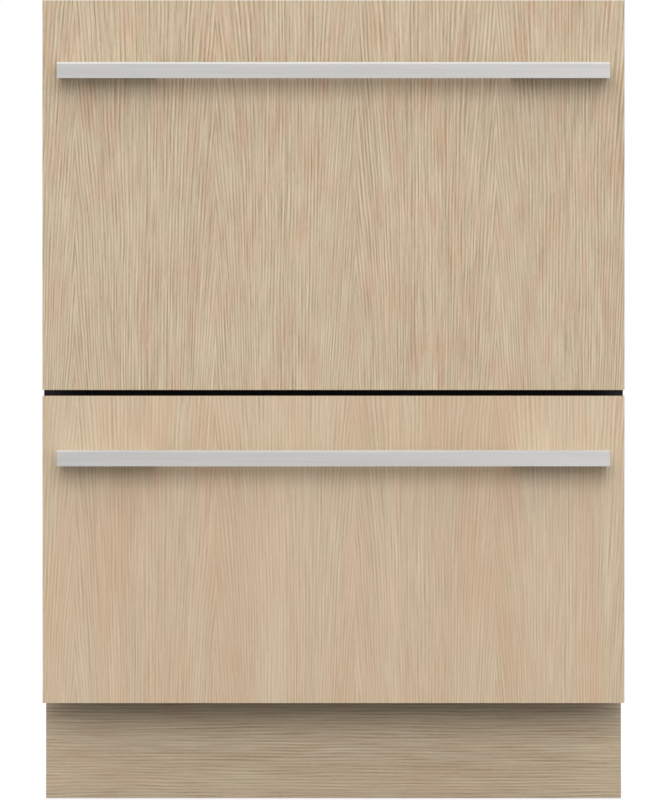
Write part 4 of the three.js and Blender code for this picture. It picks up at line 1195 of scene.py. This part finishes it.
class DISHWASHER_OT_stage(bpy.types.Operator):
    """Makes the floor, the lights and the camera"""

    bl_idname = "dishwasher.stage"
    bl_label = "Studio"

    def execute(self, context):
        floor_half = 30.0
        bm = bmesh.new()
        bmesh.ops.create_grid(bm, x_segments=4, y_segments=4, size=floor_half)
        floor = add_object("studio_floor", mesh_from("studio_floor", bm))
        floor.data.materials.append(studio_floor("studio_floor_paint", linear("#949494")))
        front = self.light("front_softbox", (0.0, -5.66, 2.5), size=(2.8, 2.7), power=121.0)
        front.visible_glossy = False
        self.light("right_card", (1.6, -4.2, 0.45), size=(1.7, 1.5), power=7.0)
        strip = self.light("bar_strip", (0.0, -4.6, 0.3), size=(4.4, 0.8), power=2.2)
        strip.visible_diffuse = False
        self.light("back_softbox", (-1.5, 4.5, 2.2), size=(3.0, 2.0), power=40.0)
        self.world(context)
        self.camera(context)
        context.scene.view_settings.view_transform = "Standard"
        return {"FINISHED"}

    def light(self, name, place, size, power):
        """A softbox that faces the middle of the object."""
        data = bpy.data.lights.new(name, "AREA")
        data.shape = "RECTANGLE"
        data.size, data.size_y = size
        data.energy = power
        lamp = add_object(name, data)
        lamp.location = place
        lamp.rotation_euler = (OBJECT_MIDDLE - Vector(place)).to_track_quat("-Z", "Y").to_euler()
        lamp.visible_camera = False
        return lamp

    def world(self, context):
        """Even light from all round, and pure white behind the object."""
        world = bpy.data.worlds.new("white_studio")
        world.use_nodes = True
        tree = world.node_tree
        tree.nodes.clear()
        up = add_node(tree, "SeparateXYZ", [add_node(tree, "TexCoord").outputs["Generated"]]).outputs["Z"]
        glow = add_node(tree, "MapRange", {"Value": up, "To Min": 0.72, "To Max": 1.05})
        seen = add_node(tree, "LightPath").outputs["Is Camera Ray"]
        strength = add_node(tree, "Math", [seen, glow], operation="MAXIMUM")
        sky = add_node(tree, "Background", {"Color": linear("#FFFFFF"), "Strength": strength})
        add_node(tree, "OutputWorld", [sky])
        context.scene.world = world

    def camera(self, context):
        """Straight on to the fronts, from far enough away that they keep their lines."""
        distance, eye_level = 6.0, 0.4127
        low, _ = span("upper_front_panel")
        data = bpy.data.cameras.new("front_camera")
        data.sensor_width, data.lens, data.clip_end = 36.0, 263.7, 100.0
        camera = add_object("front_camera", data)
        camera.location = (0.0, low.y / 1000 - distance, eye_level)
        camera.rotation_euler = (math.pi / 2, 0.0, 0.0)
        context.scene.camera = camera


GROUPS = {
    "dishwasher_fronts": FrontSettings,
    "dishwasher_handles": HandleSettings,
    "dishwasher_cabinet": CabinetSettings,
    "dishwasher_plastics": PlasticSettings,
    "dishwasher_racks": RackSettings,
}
OPERATORS = (
    DISHWASHER_OT_stage,
    DISHWASHER_OT_fronts,
    DISHWASHER_OT_handles,
    DISHWASHER_OT_cabinet,
    DISHWASHER_OT_base,
    DISHWASHER_OT_slides,
    DISHWASHER_OT_lids,
    DISHWASHER_OT_doors,
    DISHWASHER_OT_tubs,
    DISHWASHER_OT_wash_parts,
    DISHWASHER_OT_racks,
    DISHWASHER_OT_baskets,
    DISHWASHER_OT_dispensers,
)


class DISHWASHER_PT_build(bpy.types.Panel):
    """Lists the steps that build the dishwasher, and their settings"""

    bl_idname = "DISHWASHER_PT_build"
    bl_label = "Double drawer dishwasher"
    bl_space_type = "VIEW_3D"
    bl_region_type = "UI"
    bl_category = "Dishwasher"

    def draw(self, context):
        """A button for each step, then the settings of each group."""
        for operator in OPERATORS:
            self.layout.operator(operator.bl_idname)
        for group in GROUPS:
            box = self.layout.box()
            for name in getattr(context.scene, group).bl_rna.properties.keys():
                if name not in ("rna_type", "name"):
                    box.prop(getattr(context.scene, group), name)


def register():
    """Adds the settings, the steps and the panel to Blender."""
    for cls in (*GROUPS.values(), *OPERATORS, DISHWASHER_PT_build):
        bpy.utils.register_class(cls)
    for name, group in GROUPS.items():
        setattr(bpy.types.Scene, name, PointerProperty(type=group))


def unregister():
    """Takes out what register adds."""
    for name in GROUPS:
        delattr(bpy.types.Scene, name)
    for cls in reversed((*GROUPS.values(), *OPERATORS, DISHWASHER_PT_build)):
        bpy.utils.unregister_class(cls)


def main():
    """Builds everything in order."""
    register()
    for operator in OPERATORS:
        group, step = operator.bl_idname.split(".")
        getattr(getattr(bpy.ops, group), step)()
    bpy.context.view_layer.update()


if __name__ == "__main__":
    main()
